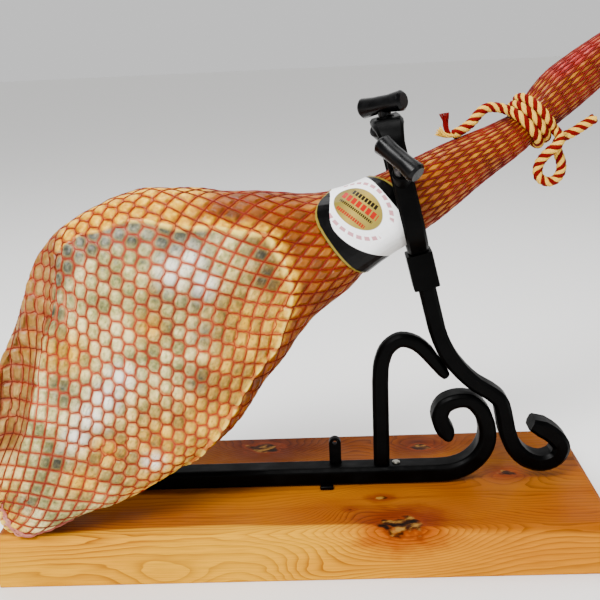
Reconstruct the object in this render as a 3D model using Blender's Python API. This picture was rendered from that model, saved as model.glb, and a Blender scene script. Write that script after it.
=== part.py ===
"""A cured ham clamped by its shank in a forged iron stand on a wooden board.

Units are metres and +Z is up. The origin is the middle of the board's underside,
+X runs from the ham's butt towards its foot, and -Y is the side that the ham faces.
Outlines of the iron bars are given in millimetres above the board's top.
"""

import math

import bmesh
import bpy
import numpy as np
from mathutils import Matrix, Vector
from mathutils.bvhtree import BVHTree

MM = 0.001
TOUCH_GAP = 0.0003

# Board
BOARD_LENGTH = 0.600
BOARD_WIDTH = 0.204
BOARD_THICKNESS = 0.054
BOARD_TOP_CHAMFER = 0.0055
BOARD_FOOT_CHAMFER = 0.0015

# Ham: a straight axis from the butt's tip to the foot, leaning back from the front edge
HAM_TIP = Vector((-0.2615, -0.0840, BOARD_THICKNESS - 0.0063))
HAM_AXIS = Vector((0.7850, 0.1661, 0.5968)).normalized()
HAM_ACROSS = Vector((-0.6053, 0.0, 0.7960)).normalized()
HAM_DEEP = HAM_ACROSS.cross(HAM_AXIS).normalized()
HAM_BUTT_START = -12.0
HAM_BUTT_CAP = 14.0
HAM_FOOT_END = 762.0
HAM_FOOT_CAP = 34.0
HAM_SIDES = 36
HAM_RING_SPACING = 20.5
HAM_FRONT_FLATNESS = 2.7
HAM_BACK_FLATNESS = 2.1
HAM_SHANK_START = 470.0
# along the axis, upper edge, lower edge, half thickness (mm)
HAM_SECTIONS = (
    (-12, 46, 9, 19),
    (2, 66, 4, 27),
    (17, 88, -1, 36),
    (37, 112, -9, 42),
    (67, 137, -17, 48),
    (139, 169, -36, 55),
    (197, 205, -41, 57.5),
    (250, 205, -34, 57),
    (316, 181, -16, 50),
    (378, 122, -9, 41.5),
    (434, 72, -9, 34),
    (485, 52, -16, 29),
    (562, 30, -18, 22.5),
    (600, 17, -20, 19),
    (622, 13, -19, 17.5),
    (640, 19, -21, 19),
    (660, 24, -21.5, 20.5),
    (690, 22.5, -21.5, 21),
    (728, 17.5, -19, 20),
)

# Forged bars
IRON_Y = -0.006
BAR_DEPTH = 0.024
BAR_CORNER = 0.0035
RAIL_TOP = 0.0204
# along X, height above the board, thickness (mm)
RAIL_ROUTE = (
    (-238, 10.4, 20),
    (-120, 10.4, 20),
    (0, 10.4, 20),
    (100, 10.4, 20),
    (130, 10.4, 20),
    (145, 10.6, 20),
    (157, 11.8, 20),
    (169, 16, 19.5),
    (182, 26, 19),
    (190.5, 40, 18.5),
    (192.6, 54, 17.5),
    (190.2, 68, 17),
    (184.5, 80.5, 16.5),
    (173, 91, 15.5),
    (159, 91.5, 16),
    (148, 86, 17),
    (143.5, 76, 17.5),
    (146, 64, 17.5),
    (150.5, 56, 17),
    (152.2, 51, 12),
    (152.6, 48, 7),
)
COLUMN_ROUTE = (
    (127.6, 226, 17),
    (135.2, 192, 17),
    (143.2, 160, 17),
    (152.6, 139.5, 17),
    (164.5, 123.5, 16),
    (180, 108.5, 15.5),
    (194.5, 99, 15.5),
    (204.5, 89.5, 16),
    (208.8, 75, 16.5),
    (211.9, 58, 17),
    (219.8, 37, 17),
    (233, 23.5, 17.5),
    (250, 18.8, 18),
    (264, 25.5, 18),
    (268, 37, 18),
    (261, 48, 18),
    (250, 56.5, 18),
    (240, 61.5, 17),
    (237, 63, 13),
)
COLUMN_TOP_DEPTH = 0.018
ARCH_ROUTE = (
    (83.5, 20.8, 16.5),
    (83.5, 80, 16.5),
    (83.6, 115, 16.5),
    (85.5, 135, 16),
    (92, 150, 15.5),
    (104, 157.8, 15),
    (118, 154.6, 15),
    (128.5, 146, 15),
    (137, 134.8, 14.2),
    (146.5, 122.2, 11.6),
    (150.7, 117.2, 8),
)
ARCH_DEPTH = 0.015

# Head: a ring of bar that leans with the column and holds the shank
LEAN = math.radians(12.9)
HEAD_UP = Vector((-math.sin(LEAN), 0.0, math.cos(LEAN)))
HEAD_SIDE = Vector((math.cos(LEAN), 0.0, math.sin(LEAN)))
HEAD_BACK = Vector((0.0, 1.0, 0.0))
SLEEVE_CENTRE = Vector((0.1264, IRON_Y, BOARD_THICKNESS + 0.2305))
SLEEVE_LENGTH = 0.036
SLEEVE_OUTSIDE = 0.0255
SLEEVE_INSIDE = 0.0190
STEM_SIZE = 0.0165
STEM_BOTTOM = -0.002
RING_BOTTOM = 0.0175
RING_TOP = 0.1505
RING_HALF_GAP = 0.033
RING_THICKNESS = 0.0085
RING_CORNER_RADIUS = 0.016
RING_WIDTH = 0.0200
RING_TOP_WIDTH = 0.0290

# Clamp screws: two slope in from the sides and one comes down from the top
SCREW_RADIUS = 0.0040
SCREW_TIP_RADIUS = 0.0012
SCREW_TIP_LENGTH = 0.0050
SCREW_BORE = 0.0043
SIDE_SCREW_SLOPE = math.radians(40)
SIDE_SCREW_HEIGHT = 0.0970
BOSS_RADIUS = 0.0085
BOSS_INNER = 0.0075
BOSS_OUTER = 0.0130
TOP_BOSS_HALF = 0.0058
KNOB_CLEARANCE = 0.0005
KNOB_LENGTH = 0.047
KNOB_RADIUS = 0.0095
KNOB_WAIST_RADIUS = 0.0082
HUB_RADIUS = 0.0062
HUB_FLARE = 0.0080
SIDE_HUB_LENGTH = 0.0235
TOP_HUB_LENGTH = 0.0100
FRONT_KNOB_TURN = math.radians(-60)
REAR_KNOB_TURN = math.radians(70)
TOP_KNOB_TURN = math.radians(-35)

# Lug, tab and wood screw on the rail
LUG_X = 0.0350
LUG_HEIGHT = 0.0290
LUG_WIDTH = 0.0125
LUG_THICKNESS = 0.0070
LUG_EYE_RADIUS = 0.0024
TAB_X = 0.0250
TAB_SIZE = (0.0140, 0.0070, 0.0040)
RAIL_SCREW_X = (0.0985, -0.190)
RAIL_SCREW_RADIUS = 0.0042
RAIL_SCREW_HEIGHT = 0.0016

# Label band: widest in front (mm along the axis)
LABEL_MIDDLE = 448.0
LABEL_SKEW = 9.0
LABEL_HALF_WIDTH = 19.0
LABEL_FRONT_EXTRA = (25.0, 17.0)
LABEL_STAND_OFF = 0.9
LABEL_THICKNESS = 0.7

# Rope round the shank (mm)
ROPE_DIAMETER = 9.8
WRAP_START = 613.0
WRAP_END = 638.0
WRAP_THICKNESS = 10.0
KNOT_PLACE = (625.0, -26.5, -20.0)
KNOT_RADIUS = 10.0
# along the ham's axis, across it, behind it
ROPE_TAIL = (
    (611.0, 21.0, -2),
    (607.5, 28.5, -2),
    (600.5, 34.6, -2),
    (592, 35.3, -2),
    (584, 33.6, -2),
    (574, 33.4, -2),
    (563, 35.2, -2),
)
ROPE_LOOP = (
    (613.8, -31.0, -20),
    (606.5, -33.5, -18.5),
    (600, -38.2, -18),
    (596.5, -46, -17.5),
    (600.2, -54.5, -17.5),
    (608, -58, -17.5),
    (616.5, -55, -17.5),
    (622, -47, -18.5),
    (625.3, -37.2, -20),
)
ROPE_END = (
    (635.4, -29.4, -20),
    (643, -32.5, -20),
    (654, -34.3, -19.5),
    (668, -36.2, -19),
)


def clear_scene():
    """Remove everything that the opened file holds."""
    for thing in list(bpy.data.objects):
        bpy.data.objects.remove(thing, do_unlink=True)


def make_material(name, colour, roughness, metallic=0.0):
    """A Principled material with one colour."""
    material = bpy.data.materials.new(name)
    material.use_nodes = True
    shader = material.node_tree.nodes["Principled BSDF"]
    shader.inputs["Base Color"].default_value = (*colour, 1.0)
    shader.inputs["Roughness"].default_value = roughness
    shader.inputs["Metallic"].default_value = metallic
    material.diffuse_color = (*colour, 1.0)
    return material


def add_object(name, shape, material, smooth_angle=35, place=None):
    """Turn a bmesh into a named object with outward faces, put at place if one is given."""
    bmesh.ops.recalc_face_normals(shape, faces=shape.faces)
    mesh = bpy.data.meshes.new(name)
    shape.to_mesh(mesh)
    shape.free()
    mesh.materials.append(material)
    mesh.shade_smooth()
    mesh.set_sharp_from_angle(angle=math.radians(smooth_angle))
    thing = bpy.data.objects.new(name, mesh)
    thing.matrix_world = place or Matrix()
    bpy.context.scene.collection.objects.link(thing)
    return thing


def combine(target, tool, operation):
    """Join the tool to the target, or cut it away, with an exact Boolean."""
    tool.hide_render = True
    tool.display_type = "WIRE"
    step = target.modifiers.new(operation.lower(), "BOOLEAN")
    step.operation = operation
    step.object = tool
    step.solver = "EXACT"


def smooth_rows(rows, spacing):
    """Points on a smooth curve through the rows; every column is carried along."""
    rows = np.array(rows, float)
    chords = np.linalg.norm(np.diff(rows[:, :2], axis=0), axis=1)
    knots = np.concatenate([[0], np.cumsum(chords)])
    slopes = np.gradient(rows, knots, axis=0)
    places = np.linspace(0, knots[-1], max(2, round(knots[-1] / spacing)) + 1)
    return hermite(rows, knots, slopes, places)


def hermite(rows, knots, slopes, places):
    """Cubic curve through rows at knots with the given slopes, read at places."""
    index = np.clip(np.searchsorted(knots, places, side="right") - 1, 0, len(knots) - 2)
    width = (knots[index + 1] - knots[index])[:, None]
    t = (places[:, None] - knots[index][:, None]) / width
    low, high = rows[index], rows[index + 1]
    low_slope, high_slope = slopes[index] * width, slopes[index + 1] * width
    return (
        low * (2 * t**3 - 3 * t**2 + 1)
        + low_slope * (t**3 - 2 * t**2 + t)
        + high * (3 * t**2 - 2 * t**3)
        + high_slope * (t**3 - t**2)
    )


def thinned(rows, tolerance=0.14):
    """Leave out points until a chord would miss the smooth route by more than the tolerance."""
    kept = [0]
    for i in range(2, len(rows)):
        start = rows[kept[-1], :2]
        chord = rows[i, :2] - start
        skipped = rows[kept[-1] + 1 : i, :2] - start
        miss = np.abs(skipped[:, 0] * chord[1] - skipped[:, 1] * chord[0]) / np.linalg.norm(chord)
        if miss.max() > tolerance:
            kept.append(i - 1)
    return rows[kept + [len(rows) - 1]]


def bar_ring(shape, centre, outward, side, thickness, width, corner):
    """Eight points of a bar's section: a rectangle with its corners cut off."""
    half, wide = thickness / 2, width / 2
    cut = min(corner, half * 0.6, wide * 0.6)
    outline = (
        (half, wide - cut),
        (half - cut, wide),
        (cut - half, wide),
        (-half, wide - cut),
        (-half, cut - wide),
        (cut - half, -wide),
        (half - cut, -wide),
        (half, cut - wide),
    )
    return [shape.verts.new(centre + outward * a + side * b) for a, b in outline]


def sweep_bar(name, rows, widths, origin, along, up, material, closed=False):
    """A bar whose centreline lies in the plane of along and up.

    Each row is (along, up, thickness) in metres, and widths are measured square to the plane.
    """
    shape = bmesh.new()
    side = along.cross(up).normalized()
    count = len(rows)
    rings = []
    for i, (a, b, thickness) in enumerate(rows):
        if closed:
            before, after = rows[i - 1], rows[(i + 1) % count]
        else:
            before, after = rows[max(i - 1, 0)], rows[min(i + 1, count - 1)]
        direction = along * (after[0] - before[0]) + up * (after[1] - before[1])
        outward = side.cross(direction.normalized())
        centre = origin + along * a + up * b
        rings.append(bar_ring(shape, centre, outward, side, thickness, widths[i], BAR_CORNER))
    pairs = list(zip(rings, rings[1:]))
    if closed:
        pairs.append((rings[-1], rings[0]))
    else:
        shape.faces.new(rings[0])
        shape.faces.new(rings[-1])
    for ring, following in pairs:
        for k in range(len(ring)):
            j = (k + 1) % len(ring)
            shape.faces.new((ring[k], ring[j], following[j], following[k]))
    return add_object(name, shape, material)


def route_bar(name, route, widths_at_ends, material, spacing=1.5):
    """A bar of the stand, swept along a route in the plane of the column."""
    rows = thinned(smooth_rows(route, spacing))
    heights = np.linspace(0, 1, len(rows))
    widths = widths_at_ends[0] + (widths_at_ends[1] - widths_at_ends[0]) * np.minimum(heights * 3, 1)
    origin = Vector((0.0, IRON_Y, BOARD_THICKNESS))
    return sweep_bar(name, rows * MM, widths, origin, Vector((1, 0, 0)), Vector((0, 0, 1)), material)


def box(shape, size, centre, turn=None):
    """A box of the given size, turned and then moved to its centre."""
    place = Matrix.Translation(centre) @ (turn or Matrix()) @ Matrix.Diagonal((*size, 1.0))
    return bmesh.ops.create_cube(shape, size=1.0, matrix=place)["verts"]


def frame_of(along, up):
    """A rotation that takes X to along and Z to up."""
    up = up.normalized()
    along = (along - up * along.dot(up)).normalized()
    return Matrix((along, up.cross(along), up)).transposed().to_4x4()


def turned(shape, outline, segments, place):
    """Spin an outline of (radius, height) pairs round Z, closed at both poles, and place it."""
    rings = []
    for radius, height in outline:
        if radius < 1e-6:
            rings.append([shape.verts.new(place @ Vector((0, 0, height)))])
            continue
        angles = [2 * math.pi * k / segments for k in range(segments)]
        points = [Vector((radius * math.cos(a), radius * math.sin(a), height)) for a in angles]
        rings.append([shape.verts.new(place @ point) for point in points])
    for ring, following in zip(rings, rings[1:]):
        for k in range(segments):
            j = (k + 1) % segments
            corners = [ring[k % len(ring)], ring[j % len(ring)]]
            corners += [following[j % len(following)], following[k % len(following)]]
            shape.faces.new(list(dict.fromkeys(corners)))


def make_board(material):
    """The board: a plank with a chamfer round its top and a softer one round its foot."""
    shape = bmesh.new()
    box(shape, (BOARD_LENGTH, BOARD_WIDTH, BOARD_THICKNESS), Vector((0, 0, BOARD_THICKNESS / 2)))
    for height, width in ((BOARD_THICKNESS, BOARD_TOP_CHAMFER), (0.0, BOARD_FOOT_CHAMFER)):
        rim = [e for e in shape.edges if all(abs(v.co.z - height) < 1e-6 for v in e.verts)]
        bmesh.ops.bevel(
            shape, geom=rim, offset=width, segments=2, profile=0.5, affect="EDGES", material=-1
        )
    return add_object("board", shape, material, 20)


def ham_section(distance):
    """Upper edge, lower edge and half thickness at a distance along the axis, in mm."""
    rows = np.array(HAM_SECTIONS, float)
    slopes = np.gradient(rows, rows[:, 0], axis=0)
    place = np.clip([distance], rows[0, 0], rows[-1, 0])
    _, upper, lower, depth = hermite(rows, rows[:, 0], slopes, place)[0]
    full_from = HAM_BUTT_START + HAM_BUTT_CAP
    full_to = HAM_FOOT_END - HAM_FOOT_CAP
    past = max((full_from - distance) / HAM_BUTT_CAP, (distance - full_to) / HAM_FOOT_CAP, 0.0)
    share = math.sqrt(max(0.0, 1.0 - past**2))
    middle = (upper + lower) / 2
    half = (upper - lower) / 2 * share
    return middle, half, depth * share


def signed_power(value, power):
    """Raise the size of a number to a power and keep its sign."""
    return math.copysign(abs(value) ** power, value)


def ham_place(distance, across, deep):
    """A point given along, across and behind the ham's axis, in mm."""
    return HAM_TIP + (HAM_AXIS * distance + HAM_ACROSS * across + HAM_DEEP * deep) * MM


def ham_point(distance, angle, grow=0.0):
    """A point of the ham's surface, grown by some mm; angle 0 is the upper edge, 90 degrees the back."""
    middle, half, depth = ham_section(distance)
    flatness = HAM_FRONT_FLATNESS if math.sin(angle) < 0 else HAM_BACK_FLATNESS
    fade = min(max((distance - HAM_SHANK_START) / 90.0, 0.0), 1.0)
    power = 2.0 / (flatness + (2.0 - flatness) * fade)
    across = (half + grow) * signed_power(math.cos(angle), power)
    deep = (depth + grow) * signed_power(math.sin(angle), power)
    return ham_place(distance, middle + across, deep)


def ham_stations():
    """Distances of the ham's rings, closer together on the round ends."""
    full_from = HAM_BUTT_START + HAM_BUTT_CAP
    full_to = HAM_FOOT_END - HAM_FOOT_CAP
    butt = [full_from - HAM_BUTT_CAP * math.cos(math.radians(a)) for a in (12, 28, 50, 72)]
    body = list(np.linspace(full_from, WRAP_START, round((WRAP_START - full_from) / HAM_RING_SPACING)))
    body += [(WRAP_START + WRAP_END) / 2, WRAP_END]
    body += list(np.linspace(WRAP_END, full_to, round((full_to - WRAP_END) / HAM_RING_SPACING) + 1))[1:]
    foot = [full_to + HAM_FOOT_CAP * math.sin(math.radians(a)) for a in (22, 44, 64, 80)]
    return butt + body + foot


def make_ham(material):
    """The ham out to its net: butt, shank and foot in one skin, pressed flat where it stands."""
    shape = bmesh.new()
    rings = []
    for distance in ham_stations():
        angles = [2 * math.pi * k / HAM_SIDES for k in range(HAM_SIDES)]
        rings.append([shape.verts.new(ham_point(distance, a)) for a in angles])
    butt_pole = shape.verts.new(ham_point(HAM_BUTT_START, 0.0))
    foot_pole = shape.verts.new(ham_point(HAM_FOOT_END, 0.0))
    for ring, following in zip(rings, rings[1:]):
        for k in range(HAM_SIDES):
            j = (k + 1) % HAM_SIDES
            shape.faces.new((ring[k], following[k], following[j], ring[j]))
    for ring, pole in ((rings[0], butt_pole), (rings[-1], foot_pole)):
        for k in range(HAM_SIDES):
            shape.faces.new((ring[k], ring[(k + 1) % HAM_SIDES], pole))
    lowest = BOARD_THICKNESS + TOUCH_GAP
    for vertex in shape.verts:
        vertex.co.z = max(vertex.co.z, lowest)
    bmesh.ops.recalc_face_normals(shape, faces=shape.faces)
    surface = BVHTree.FromBMesh(shape)
    return add_object("ham", shape, material, 60), surface


def make_skin_ring(name, rows_at, sides, material):
    """A closed band round the ham; rows_at(angle) gives its section as (distance, grow) pairs."""
    shape = bmesh.new()
    rings = []
    for k in range(sides):
        angle = 2 * math.pi * k / sides
        rings.append([shape.verts.new(ham_point(d, angle, g)) for d, g in rows_at(angle)])
    for k, ring in enumerate(rings):
        following = rings[(k + 1) % sides]
        for i in range(len(ring)):
            j = (i + 1) % len(ring)
            shape.faces.new((ring[i], ring[j], following[j], following[i]))
    return add_object(name, shape, material)


def label_section(angle):
    """The label's section: a thin strip that is widest where it faces forward."""
    front = max(0.0, -math.sin(angle)) ** 1.5
    middle = LABEL_MIDDLE + LABEL_SKEW * math.cos(angle)
    low, high = (LABEL_HALF_WIDTH + extra * front for extra in LABEL_FRONT_EXTRA)
    inner, outer = LABEL_STAND_OFF, LABEL_STAND_OFF + LABEL_THICKNESS
    places = [middle - low, middle - low / 3, middle + high / 3, middle + high]
    return [(d, inner) for d in places] + [(d, outer) for d in reversed(places)]


def wrap_section(angle):
    """The wound rope's section: a flat inside with a rounded outside."""
    inner, full = 0.5, WRAP_THICKNESS
    low, high, shoulder = WRAP_START, WRAP_END, 3.5
    return [
        (low, inner),
        ((low + high) / 2, inner),
        (high, inner),
        (high, full - shoulder),
        (high - shoulder, full),
        (low + shoulder, full),
        (low, full - shoulder),
    ]


def make_rope_tube(name, route, material):
    """A stretch of free rope as a tube on a smooth route."""
    points = [ham_place(*row) for row in route]
    rows = np.array([tuple(p) for p in points])
    chords = np.linalg.norm(np.diff(rows, axis=0), axis=1)
    knots = np.concatenate([[0], np.cumsum(chords)])
    slopes = np.gradient(rows, knots, axis=0)
    steps = max(4, round(knots[-1] / (ROPE_DIAMETER * 0.55 * MM)))
    line = hermite(rows, knots, slopes, np.linspace(0, knots[-1], steps + 1))
    curve = bpy.data.curves.new(name, "CURVE")
    curve.dimensions = "3D"
    curve.bevel_depth = ROPE_DIAMETER / 2 * MM
    curve.bevel_resolution = 2
    curve.use_fill_caps = True
    spline = curve.splines.new("POLY")
    spline.points.add(len(line) - 1)
    for point, place in zip(spline.points, line):
        point.co = (*place, 1.0)
    curve.materials.append(material)
    thing = bpy.data.objects.new(name, curve)
    bpy.context.scene.collection.objects.link(thing)
    return thing


def make_rope(material):
    """The rope: turns round the shank with a knot, a loop, a short end and a long tail."""
    wraps = make_skin_ring("rope_wraps", wrap_section, HAM_SIDES, material)
    shape = bmesh.new()
    place = Matrix.Translation(ham_place(*KNOT_PLACE))
    bmesh.ops.create_uvsphere(
        shape, u_segments=14, v_segments=9, radius=KNOT_RADIUS * MM, matrix=place
    )
    combine(wraps, add_object("knot_tool", shape, material), "UNION")
    make_rope_tube("rope_tail", ROPE_TAIL, material)
    make_rope_tube("rope_loop", ROPE_LOOP, material)
    make_rope_tube("rope_end", ROPE_END, material)


def head_point(back, up):
    """A point in the ring's plane, behind and above the sleeve's middle."""
    return SLEEVE_CENTRE + HEAD_BACK * back + HEAD_UP * up


def ring_rows():
    """The ring's centreline: a half circle below, straight arms and a top with round corners."""
    reach = RING_HALF_GAP + RING_THICKNESS / 2
    low = RING_BOTTOM + RING_THICKNESS / 2 + reach
    high = RING_TOP - RING_THICKNESS / 2
    corner = RING_CORNER_RADIUS
    rows = []
    for k in range(19):
        angle = math.pi + math.pi * k / 18
        rows.append((reach * math.cos(angle), low + reach * math.sin(angle), RING_WIDTH))
    for side, first in ((1, 0), (-1, 90)):
        for k in range(6):
            angle = math.radians(first + 18 * k)
            back = side * (reach - corner) + corner * math.cos(angle)
            up = high - corner + corner * math.sin(angle)
            share = k / 5 if side > 0 else 1 - k / 5
            rows.append((back, up, RING_WIDTH + (RING_TOP_WIDTH - RING_WIDTH) * share))
    return rows


def screw_axes():
    """For each clamp screw: a point on its axis in the ring's bar, its direction out, its knob's turn."""
    reach = RING_HALF_GAP + RING_THICKNESS / 2
    slope = SIDE_SCREW_SLOPE
    up = HEAD_UP * math.sin(slope)
    back = HEAD_BACK * math.cos(slope)
    return {
        "front": (head_point(-reach, SIDE_SCREW_HEIGHT), up - back, FRONT_KNOB_TURN),
        "rear": (head_point(reach, SIDE_SCREW_HEIGHT), up + back, REAR_KNOB_TURN),
        "top": (head_point(0.0, RING_TOP - RING_THICKNESS / 2), HEAD_UP.copy(), TOP_KNOB_TURN),
    }


def make_head(material):
    """The clamp's ring with its stem, a boss for each screw and the screws' holes."""
    rows = ring_rows()
    bars = np.array([(back, up, RING_THICKNESS) for back, up, _ in rows])
    widths = [width for _, _, width in rows]
    head = sweep_bar("head", bars, widths, SLEEVE_CENTRE, HEAD_BACK, HEAD_UP, material, closed=True)
    stem = bmesh.new()
    stem_top = RING_BOTTOM + RING_THICKNESS / 2
    size = (STEM_SIZE, STEM_SIZE, stem_top - STEM_BOTTOM)
    box(stem, size, head_point(0.0, (stem_top + STEM_BOTTOM) / 2), frame_of(HEAD_SIDE, HEAD_UP))
    combine(head, add_object("stem_tool", stem, material), "UNION")
    for label, (place, out, _) in screw_axes().items():
        turn = Matrix.Translation(place) @ frame_of(HEAD_SIDE, out)
        low, high = -BOSS_INNER, BOSS_OUTER
        if label == "top":
            low, high = -TOP_BOSS_HALF, TOP_BOSS_HALF
        boss = bmesh.new()
        rim = BOSS_RADIUS - 0.001
        outline = ((0, low), (BOSS_RADIUS, low), (BOSS_RADIUS, high - 0.001), (rim, high), (0, high))
        turned(boss, outline, 20, turn)
        combine(head, add_object(label + "_boss_tool", boss, material), "UNION")
    for label, (place, out, _) in screw_axes().items():
        turn = Matrix.Translation(place) @ frame_of(HEAD_SIDE, out)
        hole = bmesh.new()
        outline = ((0, -0.03), (SCREW_BORE, -0.03), (SCREW_BORE, 0.03), (0, 0.03))
        turned(hole, outline, 20, turn)
        combine(head, add_object(label + "_hole_tool", hole, material), "DIFFERENCE")
    return head


def make_screw(label, axis, ham_surface, materials):
    """One clamp screw, made upright round its own axis and then placed on it.

    The pointed spindle reaches down to the ham, and the T-shaped knob is on its outer end.
    """
    start, out, knob_turn = axis
    reach = ham_surface.ray_cast(start, -out)[3]
    if label == "top":
        knob_start, hub_length = TOP_BOSS_HALF + KNOB_CLEARANCE, TOP_HUB_LENGTH
    else:
        knob_start, hub_length = BOSS_OUTER + KNOB_CLEARANCE, SIDE_HUB_LENGTH
    seat = Matrix.Translation(start) @ frame_of(HEAD_SIDE, out)
    tip = 2 * TOUCH_GAP - reach
    outer = knob_start - TOUCH_GAP
    spindle = bmesh.new()
    point = ((0, tip), (SCREW_TIP_RADIUS, tip), (SCREW_RADIUS, tip + SCREW_TIP_LENGTH))
    turned(spindle, point + ((SCREW_RADIUS, outer), (0, outer)), 16, Matrix())
    add_object(label + "_spindle", spindle, materials["steel"], place=seat)

    seat = seat @ Matrix.Rotation(knob_turn, 4, "Z")
    crossing = knob_start + hub_length
    barrel = bmesh.new()
    half = KNOB_LENGTH / 2
    rim = ((0, half), (KNOB_RADIUS * 0.75, half), (KNOB_RADIUS, half - 0.0025))
    outline = rim + ((KNOB_WAIST_RADIUS, half * 0.35),)
    outline = [(radius, -height) for radius, height in outline] + list(reversed(outline))
    lie = Matrix.Translation((0, 0, crossing)) @ Matrix.Rotation(math.radians(90), 4, "Y")
    turned(barrel, outline, 20, lie)
    knob = add_object(label + "_knob", barrel, materials["plastic"], place=seat)
    hub = bmesh.new()
    neck = ((0, knob_start), (HUB_RADIUS, knob_start), (HUB_RADIUS, knob_start + hub_length * 0.45))
    turned(hub, neck + ((HUB_FLARE, crossing), (0, crossing + 0.001)), 18, Matrix())
    hub = add_object(label + "_hub_tool", hub, materials["plastic"], place=seat)
    combine(knob, hub, "UNION")


def make_sleeve(material):
    """The square sleeve that joins the head's stem to the column."""
    shape = bmesh.new()
    size = (SLEEVE_OUTSIDE, SLEEVE_OUTSIDE, SLEEVE_LENGTH)
    turn = frame_of(HEAD_SIDE, HEAD_UP)
    box(shape, size, SLEEVE_CENTRE, turn)
    upright = [e for e in shape.edges if abs((e.verts[0].co - e.verts[1].co).normalized().dot(HEAD_UP)) > 0.9]
    bmesh.ops.bevel(
        shape, geom=upright, offset=0.002, segments=2, profile=0.5, affect="EDGES", material=-1
    )
    sleeve = add_object("sleeve", shape, material)
    hole = bmesh.new()
    box(hole, (SLEEVE_INSIDE, SLEEVE_INSIDE, SLEEVE_LENGTH * 2), SLEEVE_CENTRE, turn)
    combine(sleeve, add_object("sleeve_hole_tool", hole, material), "DIFFERENCE")


def make_rail_fittings(materials):
    """The eye lug, the front tab and the wood screws of the rail."""
    rail_top = BOARD_THICKNESS + RAIL_TOP + TOUCH_GAP
    lug = bmesh.new()
    eye_height = rail_top + LUG_HEIGHT - LUG_WIDTH / 2
    back = IRON_Y + BAR_DEPTH / 2 - LUG_THICKNESS
    post = (LUG_WIDTH, LUG_THICKNESS, eye_height - rail_top)
    box(lug, post, Vector((LUG_X, back, (eye_height + rail_top) / 2)))
    lug = add_object("rail_lug", lug, materials["iron"])
    eye = bmesh.new()
    half = LUG_THICKNESS / 2
    place = Matrix.Translation((LUG_X, back, eye_height)) @ Matrix.Rotation(math.radians(90), 4, "X")
    wide = LUG_WIDTH / 2
    turned(eye, ((0, -half), (wide, -half), (wide, half), (0, half)), 16, place)
    combine(lug, add_object("lug_eye_tool", eye, materials["iron"]), "UNION")
    hole = bmesh.new()
    place = Matrix.Translation((LUG_X, back, eye_height + 0.0008)) @ Matrix.Rotation(math.radians(90), 4, "X")
    turned(hole, ((0, -0.02), (LUG_EYE_RADIUS, -0.02), (LUG_EYE_RADIUS, 0.02), (0, 0.02)), 12, place)
    combine(lug, add_object("lug_hole_tool", hole, materials["iron"]), "DIFFERENCE")

    tab = bmesh.new()
    front = IRON_Y - BAR_DEPTH / 2 - TOUCH_GAP - TAB_SIZE[1] / 2
    box(tab, TAB_SIZE, Vector((TAB_X, front, BOARD_THICKNESS + TOUCH_GAP + TAB_SIZE[2] / 2)))
    bmesh.ops.bevel(
        tab, geom=tab.edges[:], offset=0.001, segments=1, profile=0.5, affect="EDGES", material=-1
    )
    add_object("rail_tab", tab, materials["iron"])

    for label, x in zip(("rail_screw_right", "rail_screw_left"), RAIL_SCREW_X):
        screw = bmesh.new()
        place = Matrix.Translation((x, IRON_Y, rail_top))
        radius, height = RAIL_SCREW_RADIUS, RAIL_SCREW_HEIGHT
        outline = ((0, 0), (radius, 0), (radius, height * 0.4), (radius * 0.7, height), (0, height))
        turned(screw, outline, 16, place)
        add_object(label, screw, materials["steel"])


def main():
    """Build every piece."""
    clear_scene()
    materials = {
        "wood": make_material("oiled_wood", (0.62, 0.33, 0.11), 0.45),
        "iron": make_material("black_iron", (0.012, 0.012, 0.013), 0.42, 0.3),
        "steel": make_material("dark_steel", (0.16, 0.16, 0.16), 0.35, 0.9),
        "plastic": make_material("black_plastic", (0.010, 0.011, 0.013), 0.30),
        "ham": make_material("ham_in_net", (0.62, 0.30, 0.11), 0.50),
        "label": make_material("printed_band", (0.80, 0.79, 0.74), 0.40),
        "rope": make_material("twisted_rope", (0.72, 0.30, 0.20), 0.85),
    }
    make_board(materials["wood"])
    _, ham_surface = make_ham(materials["ham"])
    make_skin_ring("label_band", label_section, HAM_SIDES, materials["label"])
    make_rope(materials["rope"])
    route_bar("rail", RAIL_ROUTE, (BAR_DEPTH, BAR_DEPTH), materials["iron"])
    route_bar("column", COLUMN_ROUTE, (COLUMN_TOP_DEPTH, BAR_DEPTH), materials["iron"])
    route_bar("arch_bar", ARCH_ROUTE, (ARCH_DEPTH, ARCH_DEPTH), materials["iron"])
    make_sleeve(materials["iron"])
    make_head(materials["iron"])
    for label, axis in screw_axes().items():
        make_screw(label, axis, ham_surface, materials)
    make_rail_fittings(materials)


main()
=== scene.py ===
"""A cured ham in its net, clamped in a forged iron stand on an oiled board.

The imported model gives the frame. Each class below builds one sub-assembly round it.
Lengths are in metres unless a name says millimetres, and +Z is up.
"""

import logging
import math
from dataclasses import dataclass
from enum import Enum
from typing import Any, Optional, Sequence

import bmesh
import bpy
import numpy as np
from mathutils import Matrix, Vector
from mathutils.bvhtree import BVHTree
from mathutils.kdtree import KDTree
from mathutils.noise import noise


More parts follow.
